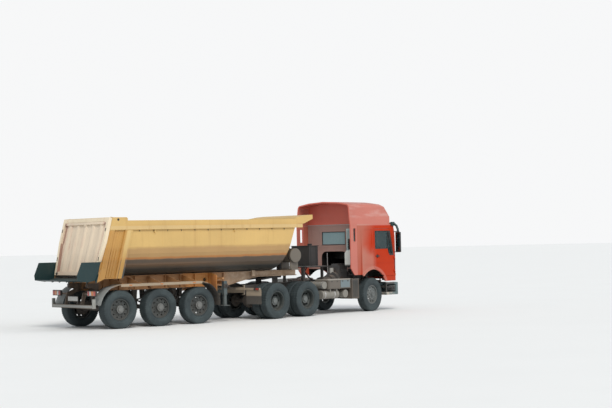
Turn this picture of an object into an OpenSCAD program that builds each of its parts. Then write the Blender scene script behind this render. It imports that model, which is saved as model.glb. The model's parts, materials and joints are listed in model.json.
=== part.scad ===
// Articulated tipper lorry: a three axle half-pipe tipping trailer behind a six wheel tractor.
// Lengths are millimetres and angles are degrees. X points forward along the trailer, Y to its left
// and Z up from the ground. Every length along X is measured from the kingpin, and the whole is then
// moved so that the origin lies on the ground under the middle of its bounding box.

/* [Stance] */
// Turn of the tractor to the left of the trailer
tractor_turn = 9; // [-12:0.5:12]
// Turn of the front wheels to the left of the tractor
steer_turn = 5; // [-8:0.5:8]
// From the kingpin back to the middle of the bounding box
middle_back = 1045; // [900:5:1150]
// From the trailer's middle plane to the middle of the bounding box
middle_left = 405; // [300:5:600]

/* [Trailer wheels and axles] */
// Radius of a trailer tyre
trailer_tyre_r = 536; // [510:1:545]
// Width of a trailer tyre
trailer_tyre_w = 370; // [340:5:385]
// Outer faces of the tyres, from the middle plane
tyre_face_y = 1215; // [1190:1:1230]
// Kingpin back to the first trailer axle
first_axle_back = 3380; // [3300:10:3500]
// Distance between the trailer axles
axle_pitch = 1332; // [1310:1:1400]
// Radius of an axle tube
axle_tube_r = 64; // [55:1:75]
// Radius of an axle spindle
spindle_r = 45; // [38:0.5:50]
// Middle of the leaf springs, from the middle plane
spring_y = 610; // [590:5:640]

/* [Trailer chassis] */
// Middle of each main beam, from the middle plane
beam_y = 485; // [440:5:510]
// Width of a beam's flanges
flange_w = 140; // [110:5:160]
// Thickness of a beam's flanges
flange_t = 14; // [10:1:20]
// Thickness of a beam's web
web_t = 10; // [8:1:14]
// Top of the beams
beam_top = 1450; // [1430:5:1455]
// Bottom of the beams over the axles
beam_low = 1050; // [1000:10:1100]
// Underside of the rubbing plate, on the fifth wheel
coupling_z = 1270; // [1260:1:1280]
// Gap between the fifth wheel and the rubbing plate
coupling_gap = 5; // [5:1:8]
// Front end of the beams, ahead of the kingpin
neck_front = 760; // [700:10:820]
// Rear end of the beams, behind the kingpin
beam_rear = 6500; // [6400:10:6550]
// Radius of the kingpin where the jaw grips it
kingpin_r = 25.4; // [24:0.1:26]
// Landing legs, behind the kingpin
leg_back = 2330; // [2300:10:2450]
// Landing legs, from the middle plane
leg_y = 980; // [900:10:1000]
// Height of the feet above the ground
foot_z = 470; // [400:10:560]

/* [Bed] */
// Half width over the bed's sheet
bed_half_w = 1210; // [1190:5:1215]
// Thickness of the bed's sheet
sheet_t = 16; // [10:1:20]
// Top of the bed's sides
bed_top = 3010; // [2900:10:3050]
// Height at which the side starts to curve in
bend_z = 2250; // [2200:10:2350]
// Underside of the bed's floor
bed_low = 1460; // [1460:1:1475]
// Front wall ahead of the kingpin, at the top
bed_front = 300; // [250:10:350]
// Lean of the front wall
front_lean = 20; // [15:1:25]
// Lean of the tailgate and the rear collar
rear_lean = 15; // [12:1:18]
// Rear collar behind the kingpin, at the height of the tailgate's top
collar_back = 6295; // [6250:5:6350]
// Top of the tailgate above the bed's sides
gate_above = 64; // [50:1:80]
// Half width over the top rails
rail_half_w = 1258; // [1250:1:1262]
// Bottom of the lower rail below the bed's top
rail_h1 = 260; // [230:5:300]
// Step between the two rails below the bed's top
rail_h2 = 148; // [130:1:170]
// Tipping angle of the raised bed
tip_angle = 42; // [30:1:45]
// Bed hinge behind the kingpin
hinge_back = 6650; // [6620:5:6680]
// Height of the bed hinge
hinge_z = 1215; // [1200:5:1230]
// Radius of the bed's hinge pin
hinge_pin_r = 35; // [30:1:40]

/* [Hoist] */
// Hoist pivots ahead of the kingpin
hoist_x = 520; // [500:5:560]
// Lower pivot above the rubbing plate
hoist_above = 75; // [70:1:90]
// Upper pivot below the top of the bed's sides
hoist_below = 85; // [70:5:110]
// Head of the barrel below the upper pivot
head_below = 115; // [100:5:140]
// Radius of the barrel
barrel_r = 96; // [90:1:110]
// Step in radius from one stage to the next
stage_step = 13; // [12:0.5:15]
// Sliding gap between the stages
slide_gap = 0.5; // [0.3:0.1:0.8]

/* [Tractor chassis] */
// Radius of a tractor tyre
tractor_tyre_r = 542; // [520:1:545]
// Width of a tractor tyre
tractor_tyre_w = 295; // [280:5:305]
// Distance between the two tyres of a twin
twin_pitch = 338; // [325:1:345]
// Outer faces of the front tyres, from the middle plane
front_face_y = 1150; // [1140:1:1170]
// Bogie middle behind the kingpin
bogie_back = 95; // [60:5:150]
// Distance between the drive axles
bogie_pitch = 1370; // [1350:5:1400]
// First drive axle to the front axle
wheelbase = 3215; // [3150:5:3300]
// Outer face of the chassis rails, from the middle plane
rail_y = 450; // [430:5:460]
// Top of the chassis rails
rail_top = 1040; // [1030:5:1050]
// Height of the chassis rails
rail_h = 290; // [270:5:300]
// Rear end of the chassis rails, behind the kingpin
chassis_rear = 1480; // [1470:5:1500]
// Steering pivots, from the middle plane
pivot_y = 870; // [850:5:890]

/* [Cab] */
// Places along X here hold for a front axle this far ahead of the kingpin, and move with it
front_station = 3805; // [3780:5:3830]
// Half width of the cab
cab_half_w = 1180; // [1160:5:1200]
// Rear wall ahead of the kingpin
cab_rear = 3250; // [3220:10:3280]
// Front panel ahead of the kingpin
cab_front = 5190; // [5170:5:5210]
// Bottom of the cab's sides
cab_low = 1200; // [1190:5:1230]
// Seam between the cab and its high roof
cab_seam = 2840; // [2820:5:2850]
// Top of the high roof
roof_top = 3595; // [3560:5:3620]
// Thickness of the cab's walls and doors
wall_t = 50; // [40:1:55]
// Rear edge of the side fairings ahead of the kingpin
fairing_rear = 2725; // [2700:5:2760]
// Cab floor's underside
floor_z = 1400; // [1390:5:1420]
// Rear edge of the door
door_rear = 3890; // [3870:5:3920]
// Front edge of the door
door_front = 4935; // [4920:5:4945]
// Gap round the door
door_gap = 7.5; // [7:0.5:9]
// Tilt pivot of the cab ahead of the kingpin
tilt_x = 5115; // [5110:1:5120]
// Height of the tilt pivot
tilt_z = 940; // [938:1:942]

/* [Hidden] */
// Columns: name, distance ahead of the kingpin, side with -1 for the right and 1 for the left
TRAILER_WHEELS = [for (n = [1:3]) for (s = [-1, 1])
    [str("trailer_", n, s < 0 ? "_right" : "_left"), -first_axle_back - (n - 1) * axle_pitch, s]];
DRIVE_WHEELS = [for (n = [1:2]) for (s = [-1, 1])
    [str("drive_", n, s < 0 ? "_right" : "_left"), -bogie_back + (1.5 - n) * bogie_pitch, s]];
SIDES = [["right", -1], ["left", 1]];
STAGES = 4;

pin_gap = 0.3;
over = 1;
gate_top = bed_top + gate_above;
rail_low = bed_top - rail_h1;
rail_step = bed_top - rail_h2;
front_axle_x = -bogie_back + bogie_pitch / 2 + wheelbase;
cab_ahead = front_axle_x - front_station;
bead_r = 286;
hoist_low = coupling_z + hoist_above;
hoist_high = bed_top - hoist_below;

// Points on an arc, from angle a to angle b in n steps
function arc(x, y, r, a, b, n) = [for (i = [0:n]) let (t = a + (b - a) * i / n) [x + r * cos(t), y + r * sin(t)]];
// The same outline on the other side of the vertical axis, in reverse order
function mirrored(p) = [for (i = [len(p) - 1:-1:0]) [-p[i][0], p[i][1]]];
function both(p) = concat(p, mirrored(p));
// X of the rear collar's face and of the front wall's face at a height
function collar_x(z) = -collar_back - (gate_top - z) * tan(rear_lean);
function front_x(z) = bed_front - (bed_top - z) * tan(front_lean);

module placed() {
    translate([middle_back, -middle_left, 0]) children();
}
module tractor() {
    placed() rotate([0, 0, tractor_turn]) children();
}
// The cab and what goes with it, wherever the front axle is
module cab_place() {
    tractor() translate([cab_ahead, 0, 0]) children();
}
// An outline in X and Z, made as thick as from y0 to y1
module side_plate(points, y0, y1) {
    translate([0, y1, 0]) rotate([90, 0, 0]) linear_extrude(y1 - y0) polygon(points);
}
// The same plate on both sides of the middle plane
module side_plates(points, y0, y1) {
    side_plate(points, y0, y1);
    side_plate(points, -y1, -y0);
}
// An outline in Y and Z, made as long as from x0 to x1
module cross_plate(points, x0, x1) {
    translate([x0, 0, 0]) rotate([90, 0, 90]) linear_extrude(x1 - x0) polygon(points);
}
// A box given by its lowest and highest corners
module block(a, b) {
    translate(a) cube([b[0] - a[0], b[1] - a[1], b[2] - a[2]]);
}
module both_blocks(a, b) {
    block(a, b);
    block([a[0], -b[1], a[2]], [b[0], -a[1], b[2]]);
}
// A round bar along Y, X or Z
module bar_y(x, z, r, y0, y1) {
    translate([x, y1, z]) rotate([90, 0, 0]) cylinder(h = y1 - y0, r = r, $fn = 48);
}
module bar_x(y, z, r, x0, x1) {
    translate([x0, y, z]) rotate([0, 90, 0]) cylinder(h = x1 - x0, r = r, $fn = 48);
}
module bar_z(x, y, r, z0, z1) {
    translate([x, y, z0]) cylinder(h = z1 - z0, r = r, $fn = 48);
}

// Trailer chassis

// Lower edge of a beam, from the front to the rear
BEAM_LOW = [[neck_front, coupling_z + 12], [-700, coupling_z + 12], [-1050, coupling_z - 40], [-1900, beam_low],
            [-beam_rear, beam_low]];
bearer_w = 60;
// Distances behind the kingpin of the cross members
CROSS_MEMBERS = [-700, 1500, 2330, 3010, 4046, 5378, 6440];
// Distances behind the kingpin of the outriggers that carry the mudguards
OUTRIGGERS = [3500, 4046, 4712, 5378, 5950];
hinge_lug_y = 505;
hinge_lug_t = 50;
hinge_cheek_t = 22;

module beam_flange(points, dz) {
    side_plates(concat(points, [for (i = [len(points) - 1:-1:0]) points[i] + [0, dz]]),
                beam_y - flange_w / 2, beam_y + flange_w / 2);
}
module trailer_chassis() {
    color("sienna") placed() {
        difference() {
            union() {
                side_plates(concat([[neck_front, beam_top]], BEAM_LOW, [[-beam_rear, beam_top]]),
                            beam_y - web_t / 2, beam_y + web_t / 2);
                beam_flange([[neck_front, beam_top], [-beam_rear, beam_top]], -flange_t);
                beam_flange(BEAM_LOW, flange_t);
                for (x = CROSS_MEMBERS)
                    block([-x - bearer_w, -beam_y, beam_top - 170], [-x + bearer_w, beam_y, beam_top - 50]);
                rubbing_plate();
                hinge_cheeks();
                hoist_cradle();
                outriggers();
                underrun_bar();
                leg_brackets();
                bed_guides();
            }
            for (s = [-1, 1]) translate([0, s * beam_y, 0]) lightening_holes();
        }
    }
}
module lightening_holes() {
    for (x = [2700, 3700, 4400, 5050, 5700]) bar_y(-x, (beam_top + beam_low) / 2, 55, -web_t, web_t);
}
module rubbing_plate() {
    plate_half = 520;
    block([-700, -plate_half, coupling_z], [neck_front, plate_half, coupling_z + 12 + over]);
    translate([0, 0, coupling_z - 84]) rotate_extrude($fn = 64)
        polygon([[0, 0], [36, 0], [36, 12], [kingpin_r, 22], [kingpin_r, 58], [36.5, 62], [36.5, 85], [0, 85]]);
}
module hinge_cheeks() {
    outline = [[-beam_rear + 120, beam_top - flange_t], [-beam_rear + 120, beam_low + flange_t],
               [-hinge_back + 40, hinge_z - 75], [-hinge_back - 60, hinge_z - 60],
               [-hinge_back - 80, hinge_z + 20], [-hinge_back - 40, hinge_z + 75], [-beam_rear - 20, beam_top - 60]];
    for (y = [hinge_lug_y - hinge_lug_t / 2 - 5 - hinge_cheek_t, hinge_lug_y + hinge_lug_t / 2 + 5])
        side_plates(outline, y, y + hinge_cheek_t);
    for (s = [-1, 1]) translate([0, s * hinge_lug_y, 0])
        bar_y(-hinge_back, hinge_z, hinge_pin_r, -hinge_lug_t / 2 - 45, hinge_lug_t / 2 + 45);
}
cradle_half = 118;
module hoist_cradle() {
    // Two cheeks on the rubbing plate with the barrel's lower pin between them
    side_plates([[hoist_x - 120, coupling_z + 10], [hoist_x + 120, coupling_z + 10], [hoist_x + 50, hoist_low + 50],
                 [hoist_x - 50, hoist_low + 50]], cradle_half, cradle_half + 25);
    bar_y(hoist_x, hoist_low, 28, -cradle_half - 40, cradle_half + 40);
}
guard_y0 = 830;
guard_y1 = 1262;
guard_z = 1235;
module outriggers() {
    for (x = OUTRIGGERS) side_plates_x(x);
    // Front bearers behind the neck, one a side, that carry the legs
    both_blocks([-leg_back - 60, beam_y, beam_low + 60], [-leg_back + 60, leg_y - 56, beam_low + 160]);
    both_blocks([-leg_back - 140, beam_y, beam_top - 200], [-leg_back - 80, leg_y + 100, beam_top - 140]);
}
module side_plates_x(x) {
    for (s = [-1, 1]) scale_side(s)
        cross_plate([[beam_y, beam_top - 30], [beam_y, guard_z - 90], [guard_y0 - 10, guard_z - 50],
                     [guard_y0 - 10, guard_z], [guard_y1 - 40, guard_z], [guard_y1 - 40, guard_z + 10],
                     [beam_y + 220, beam_top - 80]], -x - 8, -x + 8);
}
// The children as they are for 1, and mirrored to the other side for -1
module scale_side(s) {
    if (s > 0) children();
    else mirror([0, 1, 0]) children();
}
// Upright plates behind the legs, from the beams out to them
module leg_brackets() {
    x = -leg_back - 222;
    for (s = [-1, 1]) scale_side(s)
        cross_plate([[beam_y, beam_top - 5], [beam_y, beam_low + 5], [beam_y + 115, beam_low + 5], [beam_y + 150, 930],
                     [leg_y - 70, 890], [leg_y - 70, beam_top - 70], [beam_y + 160, beam_top - 5]], x - 6, x + 6);
}
// Blocks on the neck that the bed comes down between
module bed_guides() {
    y = beam_y + flange_w / 2 - 10;
    both_blocks([-1010, y, coupling_z + 30], [-890, y + 60, bed_low + 12]);
}
bar_z0 = 590;
bar_back = 6900;
module underrun_bar() {
    both_blocks([-beam_rear, beam_y - 59, beam_low + 20], [-beam_rear + 60, beam_y, beam_low + 200]);
    block([-bar_back, -1140, bar_z0], [-bar_back + 90, 1140, bar_z0 + 100]);
    side_plates([[-beam_rear + 60, beam_low + 70], [-beam_rear + 60, beam_low - 10], [-bar_back + 200, 940],
                 [-bar_back + 95, bar_z0 + 50], [-bar_back + 5, bar_z0 + 50], [-bar_back + 100, 1020],
                 [-beam_rear - 60, beam_low + 70]], beam_y - 60, beam_y - 20);
    // Lamp bearers, out from the posts
    both_blocks([-bar_back + 120, beam_y - 50, 960], [-bar_back + 170, 1180, 1010]);
}

// Trailer running gear

// A leaf of a spring: half its length, how far its ends stand above its middle, thickness and middle height
module leaf(x, half, rise, t, z, y, w) {
    n = 8;
    top = [for (i = [-n:n]) [x + half * i / n, z + rise * i * i / (n * n)]];
    side_plate(concat(top, [for (i = [2 * n:-1:0]) top[i] - [0, t]]), y - w / 2, y + w / 2);
}
leaf_t = 16;
leaf_w = 90;
module spring_pack(x, z, half, rise, leaves, y) {
    // Columns of the loop: leaf number, counted down from the longest
    for (i = [0:leaves - 1]) let (share = 1 - i * 0.16)
        leaf(x, half * share, rise * share * share, leaf_t + 0.5, z - i * leaf_t, y, leaf_w);
}
module trailer_axles() {
    color("dimgray") placed() for (n = [0:2]) let (x = -first_axle_back - n * axle_pitch) {
        trailer_axle(x);
        for (s = [-1, 1]) trailer_spring(x, s);
    }
}
spring_z = trailer_tyre_r + axle_tube_r + 26 + 5 * leaf_t;
module trailer_axle(x) {
    hub_in = tyre_face_y - trailer_tyre_w + 70;
    bar_y(x, trailer_tyre_r, axle_tube_r, -hub_in, hub_in);
    bar_y(x, trailer_tyre_r, spindle_r, -tyre_face_y + 60, tyre_face_y - 60);
    for (s = [-1, 1]) {
        // Brake drum's back plate and its chamber
        bar_y(x, trailer_tyre_r, 200, min(s * hub_in, s * (hub_in - 18)), max(s * hub_in, s * (hub_in - 18)));
        bar_x(s * (hub_in - 150), trailer_tyre_r + 40, 70, x + 90, x + 230);
        block([x + 40, s * (hub_in - 150) - 20, trailer_tyre_r - 20], [x + 100, s * (hub_in - 150) + 20, trailer_tyre_r + 60]);
    }
}
module trailer_spring(x, s) {
    spring_pack(x, spring_z, 520, 60, 5, s * spring_y);
    // Seat and clamp on the axle
    block([x - 70, s * spring_y - 60, trailer_tyre_r], [x + 70, s * spring_y + 60, spring_z - 5 * leaf_t + 4]);
    block([x - 60, s * spring_y - 60, spring_z - 1], [x + 60, s * spring_y + 60, spring_z + 22]);
    // Hangers at both ends, up to the beam's lower flange
    for (e = [-1, 1]) {
        side_plate([[x + e * 520 - 50, spring_z + 30], [x + e * 520 + 50, spring_z + 30],
                    [x + e * 520 + 70, beam_low - 10], [x + e * 520 - 70, beam_low - 10]],
                   s * spring_y - leaf_w / 2 - 4, s * spring_y + leaf_w / 2 + 4);
    }
    // Bearer from the hangers in to the beam
    block([x - 600, min(s * (beam_y - 10), s * (spring_y + 50)), beam_low - 14],
          [x + 600, max(s * (beam_y - 10), s * (spring_y + 50)), beam_low]);
}

// Mudguards: a flat strip over the axles, curved down at both ends
guard_t = 8;
last_axle_x = -first_axle_back - 2 * axle_pitch;
module trailer_mudguards() {
    r = guard_z - trailer_tyre_r;
    line = concat(arc(-first_axle_back, trailer_tyre_r, r, 8, 62, 6),
                  [[-first_axle_back + 60, guard_z], [last_axle_x - 20, guard_z]],
                  arc(last_axle_x, trailer_tyre_r, r, 118, 168, 5));
    inner = [for (p = line) let (c = p[0] > (-first_axle_back + last_axle_x) / 2 ? -first_axle_back : last_axle_x)
             let (d = p - [c, trailer_tyre_r]) p - d * guard_t / norm(d)];
    color("tan") placed() {
        side_plates(concat(line, [for (i = [len(inner) - 1:-1:0]) inner[i]]), guard_y0, guard_y1);
        // Edge strip that stands down along the outside
        side_plates([[-first_axle_back + 60, guard_z + 2], [last_axle_x - 20, guard_z + 2],
                     [last_axle_x - 20, guard_z - 70], [-first_axle_back + 60, guard_z - 70]],
                    guard_y1 - 12, guard_y1 + 6);
    }
}

module landing_legs() {
    tube = 56;
    color("slategray") placed() for (s = [-1, 1]) {
        block([-leg_back - tube, s * leg_y - tube, 800], [-leg_back + tube, s * leg_y + tube, beam_low + 150]);
        block([-leg_back - 42, s * leg_y - 42, foot_z + 15], [-leg_back + 42, s * leg_y + 42, 800 + over]);
        block([-leg_back - 110, s * leg_y - 120, foot_z], [-leg_back + 110, s * leg_y + 120, foot_z + 16]);
        // Brace to the rear
        side_plate([[-leg_back - 50, 860], [-leg_back - 50, 930], [-leg_back - 370, beam_low], [-leg_back - 430, beam_low]],
                   s * (beam_y + 40) - 20, s * (beam_y + 40) + 20);
        block([-leg_back - 52, min(s * (beam_y + 20), s * leg_y), 850], [-leg_back - 20, max(s * (beam_y + 20), s * leg_y), 940]);
    }
    color("slategray") placed() bar_y(-leg_back, 900, 18, -leg_y, leg_y);
}

lamp_x = -bar_back + 120;
module rear_lamps() {
    color("firebrick") placed() both_blocks([lamp_x - 70, 740, 925], [lamp_x, 1200, 1085]);
}

tank_r = 215;
tank_z = 1895;
tank_x = 375;
module front_tank() {
    color("rosybrown") placed() {
        intersection() {
            bar_y(tank_x, tank_z, tank_r, -1010, -330);
            union() {
                translate([tank_x, -670, tank_z]) sphere(r = 395, $fn = 64);
            }
        }
        for (y = [-900, -470]) block([tank_x - 150, y - 20, beam_top], [tank_x + 150, y + 20, tank_z - 150]);
        block([tank_x - 170, -1010, beam_top], [tank_x + 170, -beam_y + 70, beam_top + 40]);
    }
}

// Bed

wall_steps = 7;
bend_r = bend_z - bed_low;
// Half of the section, outer or inner: t is how far it lies inside the outer face
function bed_half(t, top) = concat([[bed_half_w - t, top]],
    arc(bed_half_w - bend_r, bend_z, bend_r - t, 0, -90, wall_steps));
function bed_section(t, top) = both(bed_half(t, top));
ear_x1 = -5800;
ear_top = bed_top + 90;
gate_gap = 5;
gate_t = 100;
// Pivot of the tailgate in its own plane: ahead of the collar's face, and above the gate's top
pivot_ahead = 190;
pivot_above = 12;
gate_pivot_x = -collar_back + pivot_ahead * cos(rear_lean) + pivot_above * sin(rear_lean);
gate_pivot_z = gate_top - pivot_ahead * sin(rear_lean) + pivot_above * cos(rear_lean);
arm_y = 1130;
arm_t = 35;
skirt_y = 1196;
skirt_low = 1400;
rib_t = 50;

module bed() {
    color("goldenrod") placed() {
        difference() {
            union() {
                bed_pipe();
                rails();
                collar();
                for (s = [-1, 1]) scale_side(s) ear();
            }
            // Room for the gate's arms is inside, the ears' holes are the pins' seats
        }
        spill_guard();
        hoist_bracket();
        hinge_lugs();
    }
    color("darkslategray") placed() chute();
}
module bed_pipe() {
    long = 7400;
    difference() {
        intersection() {
            cross_plate(bed_section(0, bed_top), -long, neck_front);
            side_plate([[front_x(bed_top), bed_top], [front_x(bed_low - over), bed_low - over],
                        [collar_x(bed_low - over), bed_low - over], [collar_x(bed_top), bed_top]],
                       -bed_half_w - over, bed_half_w + over);
        }
        intersection() {
            cross_plate(bed_section(sheet_t, bed_top + over), -long, neck_front);
            side_plate([[front_x(bed_top) - sheet_t + 1, bed_top + 2 * over], [front_x(bed_low) - sheet_t, bed_low],
                        [-long, bed_low], [-long, bed_top + 2 * over]], -bed_half_w, bed_half_w);
        }
    }
}
rail_front = 475;
module rails() {
    side_plates([[rail_front, rail_low], [collar_x(rail_low), rail_low], [collar_x(rail_step), rail_step],
                 [rail_front, rail_step]], bed_half_w - over, rail_half_w);
    side_plates([[bed_front, rail_step - over], [ear_x1 - over, rail_step - over], [ear_x1 - over, bed_top], [bed_front, bed_top]],
                bed_half_w - over, rail_half_w - 20);
    // Short brackets under the rail
    for (x = [-4900, -2100]) side_plates([[x - 12, rail_low + over], [x + 12, rail_low + over], [x + 12, rail_low - 110],
                                          [x - 12, rail_low - 80]], bed_half_w - over, rail_half_w - 8);
}
// Skirt, ribs and ring plate of the rear collar
module collar() {
    skirt_w = 760;
    difference() {
        collar_sides(skirt_w, 250);
        cross_plate(bed_section(sheet_t / 2, bed_top), -7500, -4900);
    }
    // Ring plates between the half-pipe and the skirt
    for (d = [[0, 20], [skirt_w - 20, skirt_w]]) ring_plate(d[0], d[1]);
}
module collar_sides(skirt_w, rib_w) {
    side_plates([[collar_x(rail_low) + skirt_w, rail_low + over], [collar_x(skirt_low) + skirt_w, skirt_low],
                 [collar_x(skirt_low), skirt_low], [collar_x(rail_low), rail_low + over]], skirt_y - 20, skirt_y);
    // Front rib and rear post, both leaning with the gate
    for (r = [[skirt_w - rib_w, skirt_w], [0, 170]])
        side_plates([[collar_x(rail_low) + r[1], rail_low + over], [collar_x(skirt_low) + r[1], skirt_low],
                     [collar_x(skirt_low) + r[0], skirt_low], [collar_x(rail_low) + r[0], rail_low + over]],
                    skirt_y - 6, skirt_y + rib_t);
    // Foot of the rear post, wider than the post
    side_plates([[collar_x(1660) + 170, 1660], [collar_x(skirt_low) + 170, skirt_low], [collar_x(1300) - 60, 1300],
                 [collar_x(1300) - 90, 1330], [collar_x(1660) - 20, 1660]], skirt_y - 6, skirt_y + rib_t - 6);
}
module ring_plate(d0, d1) {
    difference() {
        intersection() {
            cross_plate(both([[skirt_y, rail_low], [skirt_y, skirt_low], [700, bed_low], [0, bed_low]]), -7400, -5000);
            side_plate([[collar_x(rail_low) + d1, rail_low], [collar_x(skirt_low) + d1, skirt_low],
                        [collar_x(skirt_low) + d0, skirt_low], [collar_x(rail_low) + d0, rail_low]], -1300, 1300);
        }
        cross_plate(bed_section(sheet_t / 2, bed_top), -7500, -4900);
    }
}
module ear() {
    difference() {
        side_plate([[collar_x(rail_step), rail_step - over], [ear_x1, rail_step - over], [ear_x1, ear_top - 30],
                    [ear_x1 - 30, ear_top], [collar_x(ear_top), ear_top]], bed_half_w - sheet_t, rail_half_w - 4);
        bar_y(gate_pivot_x, gate_pivot_z, 34, bed_half_w + 14, rail_half_w + 10);
    }
    bar_y(gate_pivot_x, gate_pivot_z, 20, arm_y - 15, bed_half_w);
}
module spill_guard() {
    side = bed_half_w + 18;
    difference() {
        side_plate([[bed_front - 110, bed_top - 12], [bed_front - 30, bed_top + 55], [600, bed_top + 108], [900, bed_top + 130],
                    [900, bed_top], [545, bed_top - 142], [bed_front - 60, bed_top - 142]], -side, side);
        side_plate([[bed_front - 140, bed_top - 30], [bed_front - 20, bed_top + 40], [600, bed_top + 95], [888, bed_top + 117],
                    [888, bed_top], [545, bed_top - 310], [bed_front - 140, bed_top - 310]], -side + 12, side - 12);
        side_plate([[bed_front - 120, bed_top + over], [-1000, bed_top + over], [-1000, bed_top - 210], [front_x(bed_top - 210) - over, bed_top - 210],
                    [front_x(bed_top) - over, bed_top + over]], -side - over, side + over);
    }
}
bracket_half = 80;
module hoist_bracket() {
    // Cheeks on the front wall, open between them for the rod's eye
    side_plates([[front_x(bed_top - 10) - 4, bed_top - 10], [front_x(bed_top - 330) - 4, bed_top - 330], [hoist_x - 150, hoist_high - 95],
                 [hoist_x + 20, hoist_high - 75], [hoist_x + 60, hoist_high - 40], [hoist_x + 60, bed_top - 10]],
                bracket_half, bracket_half + 22);
    // Stubs of the opened pin
    for (s = [-1, 1]) bar_y(hoist_x, hoist_high, 30, min(s * (bracket_half - 12), s * (bracket_half + 30)),
                            max(s * (bracket_half - 12), s * (bracket_half + 30)));
    // Stiffeners up the front wall
    for (y = [300, 620, 940]) side_plates([[front_x(bed_top - 20) - 4, bed_top - 20], [front_x(1900) - 4, 1900],
                                           [front_x(1900) + 50, 1900], [front_x(bed_top - 20) + 50, bed_top - 20]], y, y + 60);
}
module hinge_lugs() {
    y0 = hinge_lug_y - hinge_lug_t / 2;
    difference() {
        side_plates([[-hinge_back - 66, bed_low + 4], [-hinge_back - 66, hinge_z - 10], [-hinge_back - 32, hinge_z - 58],
                     [-hinge_back + 32, hinge_z - 58], [-hinge_back + 66, hinge_z - 10], [-hinge_back + 135, bed_low - 60],
                     [-hinge_back + 135, bed_low + 4]], y0, y0 + hinge_lug_t);
        for (s = [-1, 1]) translate([0, s * hinge_lug_y, 0]) bar_y(-hinge_back, hinge_z, hinge_pin_r + pin_gap, -60, 60);
    }
    // Cross tube between the lugs
    block([-hinge_back + 10, -y0 - over, 1400], [-hinge_back + 120, y0 + over, bed_low + 4]);
}
chute_t = 12;
wing_y = 1192;
module chute() {
    x0 = collar_x(1480) + 30;
    // Wings
    side_plates([[collar_x(1870) + 20, 1870], [-7270, 1870], [-7420, 1510], [-7400, 1372], [-7080, 1322],
                 [collar_x(1400) + 20, 1400]], wing_y, wing_y + 14);
    // Floor and its front lip
    side_plate([[x0, 1440], [x0, 1440 - chute_t], [-7080, 1330], [-7400, 1380], [-7400, 1380 + chute_t], [-7080, 1330 + chute_t]],
               -wing_y - 2, wing_y + 2);
    for (y = [-800, -400, 0, 400, 800])
        side_plate([[collar_x(1400) + 10, 1405], [collar_x(1400) + 10, 1436], [-7080, 1332], [-7080, 1305]], y - 6, y + 6);
}

// Tailgate, made upright with its inner face at X = 0 and its top at Z = 0, and then leant back
module leaning() {
    translate([-collar_back, 0, gate_top]) rotate([0, rear_lean, 0]) children();
}
gate_h = 1650;
gate_wide_h = 700;
gate_half_top = 1245;
gate_half_low = 1110;
function gate_half(i) = [[gate_half_top - i, -i], [gate_half_top - i, -gate_wide_h], [gate_half_low - i, -gate_h + i]];
module tailgate() {
    frame_w = 105;
    color("wheat") placed() leaning() {
        difference() {
            cross_plate(both(gate_half(0)), -gate_gap - gate_t, -gate_gap);
            cross_plate(both(gate_half(frame_w)), -gate_gap - gate_t - over, -gate_gap - 40);
        }
        // Pressed ribs on the recessed panel
        for (y = [-840, -420, 0, 420, 840])
            cross_plate([[y - 55, -frame_w + 5], [y - 35, -gate_h + frame_w - 5], [y + 35, -gate_h + frame_w - 5], [y + 55, -frame_w + 5]],
                        -gate_gap - 66, -gate_gap - 38);
        for (s = [-1, 1]) scale_side(s) gate_arm();
    }
}
module gate_arm() {
    difference() {
        union() {
            side_plate([[-gate_gap - gate_t, 0], [-gate_gap - gate_t, -70], [-gate_gap, -70], [pivot_ahead, pivot_above - 45],
                        [pivot_ahead, pivot_above + 45], [0, 45], [-40, 0]], arm_y, arm_y + arm_t);
            bar_y(pivot_ahead, pivot_above, 45, arm_y, arm_y + arm_t);
        }
        bar_y(pivot_ahead, pivot_above, 20 + pin_gap, arm_y - 10, arm_y + arm_t + 10);
    }
}

// Hoist: a barrel and tubes that slide out of each other
barrel_len = hoist_high - hoist_low - head_below;
tube_wall = stage_step - slide_gap;
module hoist_barrel() {
    color("dimgray") placed() translate([hoist_x, 0, hoist_low]) {
        difference() {
            union() {
                bar_z(0, 0, barrel_r, 40, barrel_len);
                bar_y(0, 0, 54, -cradle_half + 5, cradle_half - 5);
                block([-54, -cradle_half + 5, 0], [54, cradle_half - 5, 60]);
                bar_z(0, 0, barrel_r + 10, barrel_len - 60, barrel_len);
            }
            bar_z(0, 0, barrel_r - tube_wall, 70, barrel_len + over);
            bar_y(0, 0, 28 + pin_gap, -cradle_half, cradle_half);
        }
    }
}
function stage_r(n) = barrel_r - n * stage_step;
stage_show = 8;
module hoist_stage(n) {
    top = barrel_len + n * stage_show;
    low = 70 + n * (10 + pin_gap);
    color("silver") placed() translate([hoist_x, 0, hoist_low]) {
        difference() {
            bar_z(0, 0, stage_r(n), low, top);
            if (n < STAGES) bar_z(0, 0, stage_r(n) - tube_wall, low + 10, top + over);
        }
        if (n == STAGES) rod_eye(top);
    }
}
module rod_eye(top) {
    eye = hoist_high - hoist_low;
    difference() {
        union() {
            bar_y(0, eye, 52, -bracket_half + 18, bracket_half - 18);
            bar_z(0, 0, stage_r(STAGES), top - over, eye - 20);
        }
        bar_y(0, eye, 31, -bracket_half, bracket_half);
    }
}

// Tractor chassis

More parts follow.
